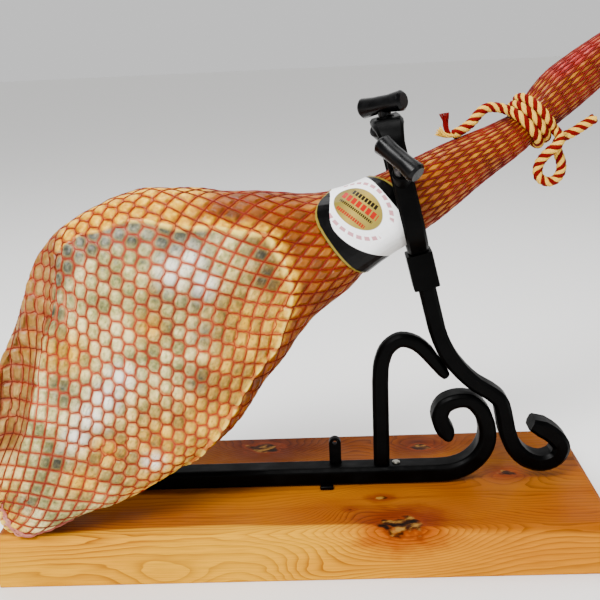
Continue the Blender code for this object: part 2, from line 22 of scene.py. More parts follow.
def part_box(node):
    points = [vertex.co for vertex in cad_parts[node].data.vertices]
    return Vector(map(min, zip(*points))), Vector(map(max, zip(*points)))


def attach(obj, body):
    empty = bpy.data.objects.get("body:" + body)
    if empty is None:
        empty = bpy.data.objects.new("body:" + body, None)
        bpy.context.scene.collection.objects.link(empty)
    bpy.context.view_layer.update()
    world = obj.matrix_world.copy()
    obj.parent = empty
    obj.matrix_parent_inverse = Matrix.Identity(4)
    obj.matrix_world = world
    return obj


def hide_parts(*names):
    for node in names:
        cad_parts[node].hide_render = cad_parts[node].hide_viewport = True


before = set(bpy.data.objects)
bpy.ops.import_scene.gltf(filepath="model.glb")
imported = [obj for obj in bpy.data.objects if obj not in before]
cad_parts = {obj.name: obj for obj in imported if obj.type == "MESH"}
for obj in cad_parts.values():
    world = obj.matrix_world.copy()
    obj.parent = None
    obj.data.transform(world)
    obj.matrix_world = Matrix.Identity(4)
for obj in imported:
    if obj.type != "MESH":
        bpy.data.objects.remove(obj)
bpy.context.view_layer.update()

MM = 0.001
LOG = logging.getLogger("ham_stand")


class Body(Enum):
    """The rigid bodies that pieces ride on."""

    STAND = "stand"
    TOP_SPINDLE = "top_spindle"
    TOP_KNOB = "top_knob"
    FRONT_SPINDLE = "front_spindle"
    FRONT_KNOB = "front_knob"
    REAR_SPINDLE = "rear_spindle"
    REAR_KNOB = "rear_knob"


class Slot(Enum):
    """The record's material slots."""

    WOOD = "wood"
    IRON = "iron"
    STEEL = "screw_steel"
    KNOB = "knob_plastic"
    HAM = "ham"
    LABEL = "label"
    ROPE = "rope"


# ---------------------------------------------------------------- materials


def linear(colour: str) -> tuple[float, float, float, float]:
    """Turn an sRGB hex colour into linear values.

    Args:
        colour: Six hex digits with a leading #.

    Returns:
        Red, green, blue and an alpha of 1.
    """
    parts = [int(colour[i : i + 2], 16) / 255 for i in (1, 3, 5)]
    flat = [p / 12.92 if p <= 0.04045 else ((p + 0.055) / 1.055) ** 2.4 for p in parts]
    return (flat[0], flat[1], flat[2], 1.0)


def add_node(tree: bpy.types.NodeTree, kind: str, inputs: Optional[dict] = None, **settings: Any) -> bpy.types.Node:
    """Add one shader node with its settings and links.

    Args:
        tree: The material's node tree.
        kind: The node's type name without the ShaderNode prefix.
        inputs: For each input's name or number, a value or another node's output.
        **settings: Properties of the node itself.

    Returns:
        The new node.
    """
    node = tree.nodes.new("ShaderNode" + kind)
    for name, value in settings.items():
        setattr(node, name, value)
    for key, value in (inputs or {}).items():
        socket = node.inputs[key]
        if isinstance(value, bpy.types.NodeSocket):
            tree.links.new(value, socket)
        else:
            socket.default_value = value
    return node


@dataclass(frozen=True)
class Finish:
    """A surface finish that can be made into a material.

    Attributes:
        name: The material's name.
        roughness: The surface's roughness where nothing changes it.
    """

    name: str
    roughness: float = 0.5

    def start(self) -> tuple[bpy.types.Material, bpy.types.NodeTree, bpy.types.Node]:
        """Make an empty Principled material and return it, its tree and its shader."""
        material = bpy.data.materials.new(self.name)
        material.use_nodes = True
        tree = material.node_tree
        shader = tree.nodes["Principled BSDF"]
        shader.inputs["Roughness"].default_value = self.roughness
        return material, tree, shader

    def math(self, tree: bpy.types.NodeTree, operation: str, *values: Any) -> bpy.types.NodeSocket:
        """Combine numbers with one Math node and return its output."""
        inputs = dict(enumerate(values))
        return add_node(tree, "Math", inputs, operation=operation).outputs[0]

    def ramp(
        self, tree: bpy.types.NodeTree, value: bpy.types.NodeSocket, stops: Sequence[tuple[float, str]]
    ) -> bpy.types.NodeSocket:
        """Colour a value with a ramp of (position, hex colour) stops and return the colour."""
        node = add_node(tree, "ValToRGB", {"Fac": value})
        points = node.color_ramp.elements
        while len(points) < len(stops):
            points.new(0.5)
        for point, (place, colour) in zip(points, stops):
            point.position = place
            point.color = linear(colour)
        return node.outputs["Color"]

    def blend(
        self, tree: bpy.types.NodeTree, share: Any, low: Any, high: Any, mode: str = "MIX"
    ) -> bpy.types.NodeSocket:
        """Mix two colours by a share and return the colour; hex strings are turned linear."""
        low = linear(low) if isinstance(low, str) else low
        high = linear(high) if isinstance(high, str) else high
        inputs = {"Factor": share, 6: low, 7: high}
        return add_node(tree, "Mix", inputs, data_type="RGBA", blend_type=mode).outputs[2]

    def span(
        self, tree: bpy.types.NodeTree, value: bpy.types.NodeSocket, low: float, high: float, to_low: float = 0.0, to_high: float = 1.0
    ) -> bpy.types.NodeSocket:
        """Map a value smoothly from one range to another and return it."""
        inputs = {"Value": value, "From Min": low, "From Max": high, "To Min": to_low, "To Max": to_high}
        return add_node(tree, "MapRange", inputs, interpolation_type="SMOOTHSTEP").outputs["Result"]

    def spots(
        self, tree: bpy.types.NodeTree, size_mm: float, detail: float = 3.0, stretch: Sequence[float] = (1, 1, 1), turn: Sequence[float] = (0, 0, 0)
    ) -> bpy.types.NodeSocket:
        """Cloudy noise with features of a real size in millimetres, stretched along an axis if asked."""
        place = add_node(tree, "TexCoord").outputs["Object"]
        mapping = {"Vector": place, "Rotation": turn, "Scale": stretch}
        turned = add_node(tree, "Mapping", mapping, vector_type="TEXTURE").outputs["Vector"]
        inputs = {"Vector": turned, "Scale": 1.0 / (size_mm * MM), "Detail": detail}
        return add_node(tree, "TexNoise", inputs).outputs["Fac"]

    def relief(self, tree: bpy.types.NodeTree, height: bpy.types.NodeSocket, depth_mm: float, under: Any = None) -> bpy.types.NodeSocket:
        """A bump of a real depth in millimetres, on top of another bump if one is given."""
        inputs = {"Height": height, "Distance": depth_mm * MM, "Strength": 1.0}
        if under is not None:
            inputs["Normal"] = under
        return add_node(tree, "Bump", inputs).outputs["Normal"]


@dataclass(frozen=True)
class OiledCypress(Finish):
    """Planed and oiled softwood: pale sapwood, orange heartwood and dark resinous knots.

    The oil gives a satin sheen and deepens the figure, and each knot pushes the rings round it.

    Attributes:
        ring_mm: Spacing of the growth rings.
        heart_y: Where the heartwood starts behind the front face.
        knots: Each knot's x and y on the top, its radius, and how dark it is.
    """

    name: str = "oiled_cypress"
    roughness: float = 0.36
    ring_mm: float = 3.4
    heart_y: float = -0.090
    knots: tuple = (
        (0.098, -0.092, 0.021, 1.0),
        (0.080, -0.042, 0.0065, 0.8),
        (0.048, -0.063, 0.0040, 0.6),
        (0.214, 0.002, 0.012, 0.85),
        (0.131, 0.066, 0.014, 0.8),
        (-0.046, 0.074, 0.022, 0.8),
        (0.012, -0.104, 0.0, 0.0),
        (-0.130, -0.104, 0.0, 0.0),
    )

    def material(self) -> bpy.types.Material:
        """Build the wood from its rings, heartwood and knots."""
        material, tree, shader = self.start()
        place = add_node(tree, "TexCoord").outputs["Object"]
        axes = add_node(tree, "SeparateXYZ", {"Vector": place}).outputs
        wander = self.spots(tree, 120, 2.0, (3.2, 0.8, 0.8))
        ripple = self.spots(tree, 26, 2.0, (3.0, 0.7, 0.7))
        ragged = self.spots(tree, 11, 4.0, (1.8, 1, 1), (0, 0, -0.5))
        push: Any = 0.0
        stain: Any = 0.0
        dark: Any = 0.0
        for x, y, radius, strength in self.knots:
            centre = (x, y, 0.054 if radius else 0.006)
            apart = add_node(tree, "VectorMath", {0: place, 1: centre}, operation="SUBTRACT").outputs[0]
            flat = (0.72, 1.1, 1.25) if radius else (0.45, 1.0, 0.9)
            apart = add_node(tree, "VectorMath", {0: apart, 1: flat}, operation="MULTIPLY").outputs[0]
            reach = add_node(tree, "VectorMath", {0: apart}, operation="LENGTH").outputs["Value"]
            wide = max(radius * 2.6, 0.020)
            swell = self.math(tree, "EXPONENT", self.math(tree, "MULTIPLY", self.math(tree, "POWER", self.math(tree, "DIVIDE", reach, wide), 2.0), -1.0))
            push = self.math(tree, "ADD", push, self.math(tree, "MULTIPLY", swell, wide * 0.75))
            if radius:
                uneven = self.math(tree, "ADD", reach, self.math(tree, "MULTIPLY", self.math(tree, "SUBTRACT", ragged, 0.5), radius * 1.5))
                core = self.span(tree, uneven, radius * 0.25, radius, strength, 0.0)
                dark = self.math(tree, "MAXIMUM", dark, core)
                stain = self.math(tree, "MAXIMUM", stain, self.span(tree, uneven, radius * 0.8, radius * 2.4, strength * 0.75, 0.0))
        across = self.math(tree, "MULTIPLY", self.math(tree, "SUBTRACT", axes[1], 0.03), 0.9)
        deep = self.math(tree, "ADD", axes[2], 0.030)
        ring = self.math(tree, "POWER", self.math(tree, "ADD", self.math(tree, "MULTIPLY", across, across), self.math(tree, "MULTIPLY", deep, deep)), 0.5)
        ring = self.math(tree, "ADD", ring, self.math(tree, "MULTIPLY", wander, 0.034))
        ring = self.math(tree, "ADD", ring, self.math(tree, "MULTIPLY", ripple, 0.006))
        ring = self.math(tree, "ADD", ring, push)
        turns = self.math(tree, "DIVIDE", ring, self.ring_mm * MM)
        year = self.math(tree, "FRACT", turns)
        late = self.math(tree, "POWER", year, 3.2)
        late = self.math(tree, "MULTIPLY", late, self.span(tree, year, 1.0, 0.93))
        strength = self.span(tree, self.spots(tree, 55, 1.0, (2.5, 1, 1)), 0.3, 0.75, 0.5, 1.0)
        late = self.math(tree, "MULTIPLY", late, strength)
        fibre = self.spots(tree, 1.3, 4.0, (26, 1, 1))
        sap = self.blend(tree, late, "#DC9E00", "#7C3600")
        amber = self.blend(tree, late, "#C88206", "#6C2A00")
        sap = self.blend(tree, self.span(tree, self.math(tree, "ADD", axes[0], self.math(tree, "MULTIPLY", wander, 0.2)), 0.10, 0.26), sap, amber)
        heart = self.blend(tree, late, "#9C5A00", "#542400")
        edge = self.math(tree, "ADD", axes[1], self.math(tree, "MULTIPLY", self.math(tree, "SUBTRACT", wander, 0.5), 0.030))
        edge = self.math(tree, "SUBTRACT", edge, self.math(tree, "MULTIPLY", self.span(tree, axes[2], 0.055, 0.0), 0.030))
        edge = self.math(tree, "ADD", edge, self.span(tree, axes[0], 0.05, 0.22, 0.0, 0.012))
        inside = self.span(tree, edge, self.heart_y - 0.001, self.heart_y + 0.004)
        colour = self.blend(tree, inside, sap, heart)
        shade = self.span(tree, self.spots(tree, 80, 2.0, (2.2, 0.8, 0.8)), 0.3, 0.72)
        warm = self.blend(tree, inside, "#F0D8A0", "#C88038")
        # Painted shade: the wood darkens and yellows towards the board's back, behind the ham.
        painted_back_shade = self.math(tree, "MULTIPLY", self.span(tree, axes[1], -0.01, 0.06), 0.85)
        colour = self.blend(tree, self.math(tree, "MULTIPLY", shade, 0.55), colour, self.blend(tree, 1.0, colour, warm, "MULTIPLY"))
        colour = self.blend(tree, painted_back_shade, colour, self.blend(tree, 1.0, colour, "#B0A070", "MULTIPLY"))
        streak = self.span(tree, self.spots(tree, 9, 3.0, (20, 1, 1)), 0.56, 0.72)
        streak = self.math(tree, "MULTIPLY", streak, self.math(tree, "MULTIPLY", inside, 0.65))
        colour = self.blend(tree, streak, colour, "#6E3004")
        colour = self.blend(tree, self.span(tree, fibre, 0.35, 0.75, 0.0, 0.28), colour, "#7C4413")
        colour = self.blend(tree, stain, colour, self.blend(tree, 1.0, colour, "#B4581C", "MULTIPLY"))
        halo = self.span(tree, dark, 0.0, 0.35)
        colour = self.blend(tree, self.math(tree, "MULTIPLY", halo, 0.8), colour, "#702A02")
        crack = self.spots(tree, 7, 4.0, (2.4, 1, 1), (0, 0, 0.4))
        core = self.ramp(tree, crack, [(0.40, "#0C0500"), (0.52, "#3A1A04"), (0.64, "#8E6426")])
        colour = self.blend(tree, self.span(tree, dark, 0.30, 0.75), colour, core)
        tree.links.new(colour, shader.inputs["Base Color"])
        gloss = self.span(tree, self.spots(tree, 30, 3.0), 0.3, 0.7, 0.38, 0.56)
        tree.links.new(gloss, shader.inputs["Roughness"])
        bump = self.relief(tree, fibre, 0.10)
        bump = self.relief(tree, late, 0.12, bump)
        tree.links.new(bump, shader.inputs["Normal"])
        shader.inputs["Specular IOR Level"].default_value = 0.04
        return material


@dataclass(frozen=True)
class BlackForgedIron(Finish):
    """Hand-forged mild steel under black enamel: soft hammer dents and a satin sheen.

    Attributes:
        hammer_mm: Width of a hammer dent.
    """

    name: str = "black_enamelled_iron"
    roughness: float = 0.40
    hammer_mm: float = 16.0

    def material(self) -> bpy.types.Material:
        """Build the enamel with hammer dents, orange peel and worn, dusty patches."""
        material, tree, shader = self.start()
        dust = self.spots(tree, 34, 4.0)
        colour = self.blend(tree, self.span(tree, dust, 0.45, 0.75), "#000000", "#030303")
        tree.links.new(colour, shader.inputs["Base Color"])
        gloss = self.span(tree, dust, 0.3, 0.7, self.roughness - 0.08, self.roughness + 0.16)
        tree.links.new(gloss, shader.inputs["Roughness"])
        bump = self.relief(tree, self.spots(tree, self.hammer_mm, 1.0), 0.9)
        bump = self.relief(tree, self.spots(tree, 1.1, 2.0), 0.05, bump)
        tree.links.new(bump, shader.inputs["Normal"])
        shader.inputs["Specular IOR Level"].default_value = 0.04
        return material


@dataclass(frozen=True)
class TurnedSteel(Finish):
    """Plain turned steel with a thin oil film, darker than polished metal."""

    name: str = "turned_steel"
    roughness: float = 0.34
    colour: str = "#34332F"

    def material(self) -> bpy.types.Material:
        """Build the steel with fine turning marks."""
        material, tree, shader = self.start()
        marks = self.spots(tree, 0.5, 2.0)
        tree.links.new(self.blend(tree, marks, self.colour, "#1C1B1A"), shader.inputs["Base Color"])
        tree.links.new(self.relief(tree, marks, 0.03), shader.inputs["Normal"])
        shader.inputs["Metallic"].default_value = 1.0
        return material


@dataclass(frozen=True)
class MouldedPhenolic(Finish):
    """Compression-moulded black phenolic: a deep black with a soft gloss and faint flow marks."""

    name: str = "moulded_phenolic"
    roughness: float = 0.27

    def material(self) -> bpy.types.Material:
        """Build the plastic with handling wear in its gloss."""
        material, tree, shader = self.start()
        wear = self.spots(tree, 12, 4.0)
        tree.links.new(self.blend(tree, wear, "#000000", "#020203"), shader.inputs["Base Color"])
        tree.links.new(self.span(tree, wear, 0.3, 0.7, 0.22, 0.38), shader.inputs["Roughness"])
        tree.links.new(self.relief(tree, self.spots(tree, 3.0, 2.0), 0.04), shader.inputs["Normal"])
        shader.inputs["Specular IOR Level"].default_value = 0.14
        return material


@dataclass(frozen=True)
class CuredHam(Finish):
    """Dry-cured ham: a pale mould bloom on the trimmed side, yellow fat at its rim, brown skin elsewhere.

    Each net cell swells into a pale cushion of its own tone, and the grooves between them are tinted orange and
    darkened.
    """

    name: str = "cured_ham_surface"
    roughness: float = 0.42

    def value(self, tree: bpy.types.NodeTree, name: str) -> bpy.types.NodeSocket:
        """Read one of the masks that the mesh carries."""
        return add_node(tree, "Attribute", attribute_name=name).outputs["Fac"]

    def cells(self, tree: bpy.types.NodeTree) -> tuple[bpy.types.NodeSocket, bpy.types.NodeSocket]:
        """Work out the net's cells from the mesh's net map.

        Returns:
            How near a place is to its cell's threads, and a tone that each cell has to itself.
        """
        place = add_node(tree, "UVMap", uv_map="net").outputs["UV"]
        axes = add_node(tree, "SeparateXYZ", {"Vector": place}).outputs
        one = self.math(tree, "MULTIPLY", self.math(tree, "ADD", axes[0], axes[1]), 0.5)
        two = self.math(tree, "MULTIPLY", self.math(tree, "SUBTRACT", axes[0], axes[1]), 0.5)
        number = {"X": self.math(tree, "FLOOR", one), "Y": self.math(tree, "FLOOR", two)}
        own = add_node(tree, "TexWhiteNoise", {"Vector": add_node(tree, "CombineXYZ", number).outputs[0]}).outputs["Value"]
        one = self.math(tree, "SUBTRACT", self.math(tree, "FRACT", one), 0.5)
        two = self.math(tree, "SUBTRACT", self.math(tree, "FRACT", two), 0.5)
        wide = self.math(tree, "ABSOLUTE", self.math(tree, "ADD", one, two))
        tall = self.math(tree, "ABSOLUTE", self.math(tree, "SUBTRACT", one, two))
        drawn = self.value(tree, "drawn")
        slant = self.math(tree, "SUBTRACT", 1.0, self.math(tree, "MULTIPLY", drawn, 2.0))
        slant = self.math(tree, "ADD", wide, self.math(tree, "MULTIPLY", slant, tall))
        slant = self.math(tree, "DIVIDE", slant, self.math(tree, "SUBTRACT", 1.0, drawn))
        total = self.math(tree, "ADD", self.math(tree, "POWER", slant, 4.0), self.math(tree, "POWER", tall, 4.0))
        return self.math(tree, "POWER", total, 1 / 4), own

    def material(self) -> bpy.types.Material:
        """Build the surface from the masks and the cells."""
        material, tree, shader = self.start()
        inset, side, shank = (self.value(tree, n) for n in ("inset", "side", "shank"))
        edge, own = self.cells(tree)
        large = self.spots(tree, 62, 4.0)
        medium = self.spots(tree, 22, 4.0)
        small = self.spots(tree, 5.0, 4.0)
        other = self.spots(tree, 38, 3.0, (1.2, 1, 1), (0.4, 1.0, 0.3))
        tone = self.math(tree, "ADD", self.math(tree, "MULTIPLY", own, 0.12), self.math(tree, "MULTIPLY", medium, 0.40))
        tone = self.math(tree, "ADD", tone, self.math(tree, "MULTIPLY", large, 0.22))
        tone = self.math(tree, "ADD", tone, self.math(tree, "MULTIPLY", small, 0.25))
        mould = self.ramp(
            tree, tone, [(0.34, "#4A4A30"), (0.42, "#7E7C48"), (0.50, "#BCB070"), (0.58, "#F0DC9C")]
        )
        yellow = self.ramp(tree, tone, [(0.34, "#805600"), (0.48, "#C08800"), (0.60, "#F0B618")])
        share = self.span(tree, other, 0.56, 0.70, 0.0, 0.65)
        uneven = self.span(tree, tone, 0.32, 0.55, 0.7, 1.0)
        share = self.math(tree, "MAXIMUM", share, self.math(tree, "MULTIPLY", self.value(tree, "yellow"), uneven))
        warmth = share
        mould = self.blend(tree, share, mould, yellow)
        # Grey mould and painted shade: dark along the face's top edge under the fat rim's step, and in the grey
        # patches.
        grey = self.ramp(tree, tone, [(0.34, "#161816"), (0.48, "#303530"), (0.60, "#586058")])
        grey_mould_and_shade = self.math(tree, "MULTIPLY", self.value(tree, "grey"), self.span(tree, tone, 0.72, 0.44, 0.7, 0.95))
        mould = self.blend(tree, grey_mould_and_shade, mould, grey)
        # Painted highlights: the pale patches turn the mould nearly white.
        mould = self.blend(tree, self.math(tree, "MULTIPLY", self.value(tree, "pale"), 0.9), mould, "#FFF8E8")
        grain = self.spots(tree, 2.4, 5.0, (1, 1, 2.2), (0.3, 0.5, 0.9))
        mould = self.blend(tree, self.span(tree, grain, 0.48, 0.34, 0.0, 0.5), mould, self.blend(tree, 1.0, mould, "#8A9070", "MULTIPLY"))
        mould = self.blend(tree, self.span(tree, grain, 0.55, 0.68, 0.0, 0.45), mould, self.blend(tree, 1.0, mould, "#6A6448", "SCREEN"))
        fat = self.ramp(tree, small, [(0.25, "#A06A00"), (0.5, "#D69A00"), (0.78, "#FFD034")])
        skin = self.ramp(tree, tone, [(0.28, "#401C00"), (0.45, "#6A3400"), (0.6, "#904C00"), (0.75, "#B46E00")])
        hide = self.ramp(tree, tone, [(0.28, "#5A2C00"), (0.5, "#904C00"), (0.7, "#BC7C00")])
        skin = self.blend(tree, shank, skin, hide)
        colour = self.blend(tree, self.value(tree, "fat"), skin, fat)
        corner = self.value(tree, "corner")
        cream = self.math(tree, "MULTIPLY", self.math(tree, "SUBTRACT", 1.0, corner), self.span(tree, inset, -14, -4))
        cream = self.math(tree, "MULTIPLY", cream, self.span(tree, medium, 0.40, 0.60, 0.0, 0.35))
        colour = self.blend(tree, cream, colour, "#F0D070")
        # The cut fat's cream-yellow lip along the face's right rim, with a painted highlight on its ridge.
        lip = self.math(tree, "MULTIPLY", self.span(tree, inset, -4.5, -2.0), corner)
        colour = self.blend(tree, lip, colour, "#F2CE5A")
        colour = self.blend(tree, self.span(tree, inset, -1.5, 4.5), colour, mould)
        flank = self.ramp(tree, tone, [(0.3, "#5C3408"), (0.5, "#8A5C1C"), (0.7, "#B89048")])
        colour = self.blend(tree, self.math(tree, "MULTIPLY", side, 0.9), colour, flank)
        flesh = self.ramp(tree, small, [(0.3, "#7C0D0B"), (0.55, "#A8201A"), (0.75, "#D77A6C")])
        colour = self.blend(tree, self.value(tree, "meat"), colour, flesh)
        face = self.span(tree, inset, 0.5, 3.0)
        rim = self.math(tree, "MULTIPLY", self.span(tree, edge, 0.50, 0.72), self.math(tree, "MULTIPLY", face, 0.9))
        rim = self.math(tree, "MULTIPLY", rim, self.math(tree, "SUBTRACT", 1.0, side))
        rim = self.math(tree, "MULTIPLY", rim, self.span(tree, share, 0.0, 1.0, 1.0, 0.4))
        colour = self.blend(tree, rim, colour, self.blend(tree, 1.0, colour, "#6C6034", "SCREEN"))
        # The grooves between the cushions are tinted orange and darkened.
        groove = self.span(tree, edge, 0.66, 0.90)
        cool = self.blend(tree, self.span(tree, medium, 0.42, 0.58), "#B2603A", "#D88C5C")
        warmth = self.blend(tree, warmth, cool, "#DC8228")
        groove_tint = self.blend(tree, face, "#B85A10", warmth)
        stain = self.blend(tree, 0.5, self.blend(tree, 1.0, colour, groove_tint, "MULTIPLY"), self.blend(tree, 0.45, groove_tint, "#9A2A00"))
        colour = self.blend(tree, self.math(tree, "MULTIPLY", groove, 0.85), colour, stain)
        pores = self.span(tree, self.spots(tree, 1.6, 2.0), 0.62, 0.72, 0.0, 0.18)
        colour = self.blend(tree, pores, colour, "#5A3A1C")
        tree.links.new(colour, shader.inputs["Base Color"])
        gloss = self.math(tree, "SUBTRACT", 0.52, self.math(tree, "MULTIPLY", self.span(tree, other, 0.35, 0.65), 0.20))
        tree.links.new(gloss, shader.inputs["Roughness"])
        bump = self.relief(tree, self.span(tree, edge, 1.0, 0.45), 1.7)
        bump = self.relief(tree, small, 0.8, bump)
        bump = self.relief(tree, self.spots(tree, 1.2, 3.0), 0.10, bump)
        tree.links.new(bump, shader.inputs["Normal"])
        shader.inputs["Subsurface Weight"].default_value = 0.10
        shader.inputs["Subsurface Radius"].default_value = (1.0, 0.45, 0.2)
        shader.inputs["Subsurface Scale"].default_value = 0.003
        shader.inputs["Specular IOR Level"].default_value = 0.20
        shader.inputs["Coat Weight"].default_value = 0.05
        shader.inputs["Coat Roughness"].default_value = 0.18
        return material


@dataclass(frozen=True)
class ElasticThread(Finish):
    """Covered elastic thread of a knitted net: bright red, a little waxy from the fat."""

    name: str = "elastic_net_thread"
    roughness: float = 0.45
    oily: tuple = ("#3E0200", "#6A0800", "#8E1C00")
    dry: tuple = ("#640A02", "#8C1808", "#B0301C")

    def material(self) -> bpy.types.Material:
        """Build the thread with its tone changing from place to place."""
        material, tree, shader = self.start()
        tone = self.spots(tree, 45, 3.0)
        oily, dry = (self.ramp(tree, tone, list(zip((0.3, 0.5, 0.72), three))) for three in (self.oily, self.dry))
        colour = self.blend(tree, add_node(tree, "Attribute", attribute_name="dry").outputs["Fac"], oily, dry)
        tree.links.new(colour, shader.inputs["Base Color"])
        tree.links.new(self.relief(tree, self.spots(tree, 0.9, 2.0), 0.15), shader.inputs["Normal"])
        shader.inputs["Specular IOR Level"].default_value = 0.15
        return material


@dataclass(frozen=True)
class CottonStrand(Finish):
    """One dyed strand of a twisted cotton rope, with the fine twist of its own yarns.

    Attributes:
        dark: The colour in the grooves between the yarns, darkened with painted shade.
        light: The colour on the yarns' crowns, with a painted highlight.
        yarn_mm: Spacing of the yarns along the strand.
    """

    dark: str = "#5C0200"
    light: str = "#940A02"
    yarn_mm: float = 1.1

    def material(self) -> bpy.types.Material:
        """Build the strand with slanting yarns on its own UV map."""
        material, tree, shader = self.start()
        place = add_node(tree, "UVMap", uv_map="lay").outputs["UV"]
        axes = add_node(tree, "SeparateXYZ", {"Vector": place}).outputs
        # Painted shade and highlight: the yarns' grooves darker and their crowns lighter, along the same twist as the
        # bump.
        slant = self.math(tree, "ADD", self.math(tree, "MULTIPLY", axes[0], 4.0), self.math(tree, "DIVIDE", axes[1], self.yarn_mm))
        wave = self.math(tree, "ADD", self.math(tree, "MULTIPLY", self.math(tree, "SINE", self.math(tree, "MULTIPLY", slant, 2 * math.pi)), 0.5), 0.5)
        fuzz = self.spots(tree, 0.8, 3.0)
        tone = self.math(tree, "ADD", self.math(tree, "MULTIPLY", wave, 0.7), self.math(tree, "MULTIPLY", fuzz, 0.3))
        tree.links.new(self.blend(tree, tone, self.dark, self.light), shader.inputs["Base Color"])
        bump = self.relief(tree, wave, 0.25)
        bump = self.relief(tree, fuzz, 0.20, bump)
        tree.links.new(bump, shader.inputs["Normal"])
        shader.inputs["Specular IOR Level"].default_value = 0.1
        return material


@dataclass(frozen=True)
class PrintedFilm(Finish):
    """Printed and laminated band: white ground, a black wedge, gold borders and a gold oval.

    Attributes:
        oval: Middle of the oval along and across the ham, in millimetres.
        oval_size: Half width and half height of the oval, in millimetres.
    """

    name: str = "printed_film"
    roughness: float = 0.30
    oval: tuple = (446.0, 48.5)
    oval_size: tuple = (27.0, 18.2)
    oval_turn: float = -78.0
    rows: tuple = (
        (0.54, 0.12, 0.60, 7.0, "#1C140A"),
        (0.14, 0.17, 0.80, 4.6, "#A81808"),
        (-0.20, 0.07, 0.74, 13.0, "#2A1D0C"),
        (-0.62, 0.09, 0.62, 11.0, "#A02010"),
    )

    def material(self) -> bpy.types.Material:
        """Build the print from a few curved edges on the band's own map."""
        material, tree, shader = self.start()
        place = add_node(tree, "UVMap", uv_map="print").outputs["UV"]
        axes = add_node(tree, "SeparateXYZ", {"Vector": place}).outputs
        along, across = axes[0], axes[1]
        rims = add_node(tree, "UVMap", uv_map="rims").outputs["UV"]
        rims = add_node(tree, "SeparateXYZ", {"Vector": rims}).outputs
        centre = (self.oval[0], self.oval[1], 0)
        wrap = add_node(tree, "UVMap", uv_map="wrap").outputs["UV"]
        turned = {"Vector": wrap, "Location": centre, "Rotation": (0, 0, math.radians(self.oval_turn)), "Scale": (*self.oval_size, 1)}
        local = add_node(tree, "Mapping", turned, vector_type="TEXTURE").outputs["Vector"]
        reach = add_node(tree, "VectorMath", {0: local}, operation="LENGTH").outputs["Value"]
        front = add_node(tree, "Attribute", attribute_name="front").outputs["Fac"]
        reach = self.math(tree, "ADD", reach, self.math(tree, "MULTIPLY", self.math(tree, "SUBTRACT", 1.0, front), 9.0))
        parts = add_node(tree, "SeparateXYZ", {"Vector": local}).outputs
        low = self.math(tree, "SUBTRACT", across, 45.0)
        square = self.math(tree, "MULTIPLY", low, low)
        bend = self.math(tree, "MULTIPLY", square, self.span(tree, low, -2.0, 2.0, 0.0088, 0.030))
        left = self.math(tree, "ADD", bend, 415.5)
        high = self.math(tree, "MAXIMUM", self.math(tree, "SUBTRACT", across, 50.0), 0.0)
        right = self.math(tree, "SUBTRACT", 473.0, self.math(tree, "MULTIPLY", self.math(tree, "MULTIPLY", high, high), 0.012))
        colour = linear("#FFFFFF")
        shade = self.span(tree, across, 14.0, -4.0, 0.0, 0.55)
        colour = self.blend(tree, shade, colour, "#8A8880")
        ring = self.math(tree, "ABSOLUTE", self.math(tree, "SUBTRACT", reach, 1.33))
        angle = self.math(tree, "ARCTAN2", parts[1], parts[0])
        marks = self.math(tree, "FRACT", self.math(tree, "MULTIPLY", angle, 4.1))
        marks = self.math(tree, "MULTIPLY", self.span(tree, marks, 0.30, 0.36), self.span(tree, ring, 0.10, 0.075))
        marks = self.math(tree, "MULTIPLY", marks, self.span(tree, self.math(tree, "ABSOLUTE", parts[1]), 0.45, 0.55, 0.0, 0.75))
        colour = self.blend(tree, marks, colour, "#B0304A")
        colour = self.blend(tree, self.span(tree, self.math(tree, "SUBTRACT", along, left), -0.3, 0.3), "#000000", colour)
        colour = self.blend(tree, self.span(tree, self.math(tree, "SUBTRACT", along, right), -0.3, 0.3), colour, "#000000")
        for rim in rims[:2]:
            gold = self.math(tree, "MULTIPLY", self.span(tree, rim, 0.2, 0.6), self.span(tree, rim, 2.7, 2.2))
            colour = self.blend(tree, gold, colour, "#7E6E28")
        field = self.ramp(tree, self.span(tree, parts[0], -1.0, 1.0), [(0.0, "#6E6226"), (0.5, "#A89040"), (1.0, "#8A7A34")])
        colour = self.blend(tree, self.span(tree, reach, 1.0, 0.96), colour, field)
        inside = self.span(tree, reach, 0.95, 0.90)
        for middle, half, reach_out, count, ink in self.rows:
            row = self.span(tree, self.math(tree, "ABSOLUTE", self.math(tree, "SUBTRACT", parts[1], middle)), half + 0.015, half - 0.015)
            row = self.math(tree, "MULTIPLY", row, self.span(tree, self.math(tree, "ABSOLUTE", parts[0]), reach_out, reach_out - 0.03))
            gaps = self.math(tree, "FRACT", self.math(tree, "MULTIPLY", self.math(tree, "ADD", parts[0], 3.0), count))
            row = self.math(tree, "MULTIPLY", row, self.span(tree, gaps, 0.22, 0.30))
            row = self.math(tree, "MULTIPLY", row, inside)
            colour = self.blend(tree, row, colour, ink)
        tree.links.new(colour, shader.inputs["Base Color"])
        tree.links.new(self.relief(tree, self.spots(tree, 9, 2.0), 0.6), shader.inputs["Normal"])
        shader.inputs["Specular IOR Level"].default_value = 0.12
        return material


@dataclass(frozen=True)
class PaleFloor(Finish):
    """The studio's plain matte floor."""

    name: str = "studio_floor"
    roughness: float = 0.9

    def material(self) -> bpy.types.Material:
        """Build the floor's single pale tone."""
        material, _, shader = self.start()
        shader.inputs["Base Color"].default_value = linear("#F4F3F1")
        return material


# ---------------------------------------------------------------- shaping


def link_object(name: str, mesh: bpy.types.Mesh) -> bpy.types.Object:
    """Put a mesh in the scene as a new object at the origin."""
    piece = bpy.data.objects.new(name, mesh)
    bpy.context.scene.collection.objects.link(piece)
    return piece


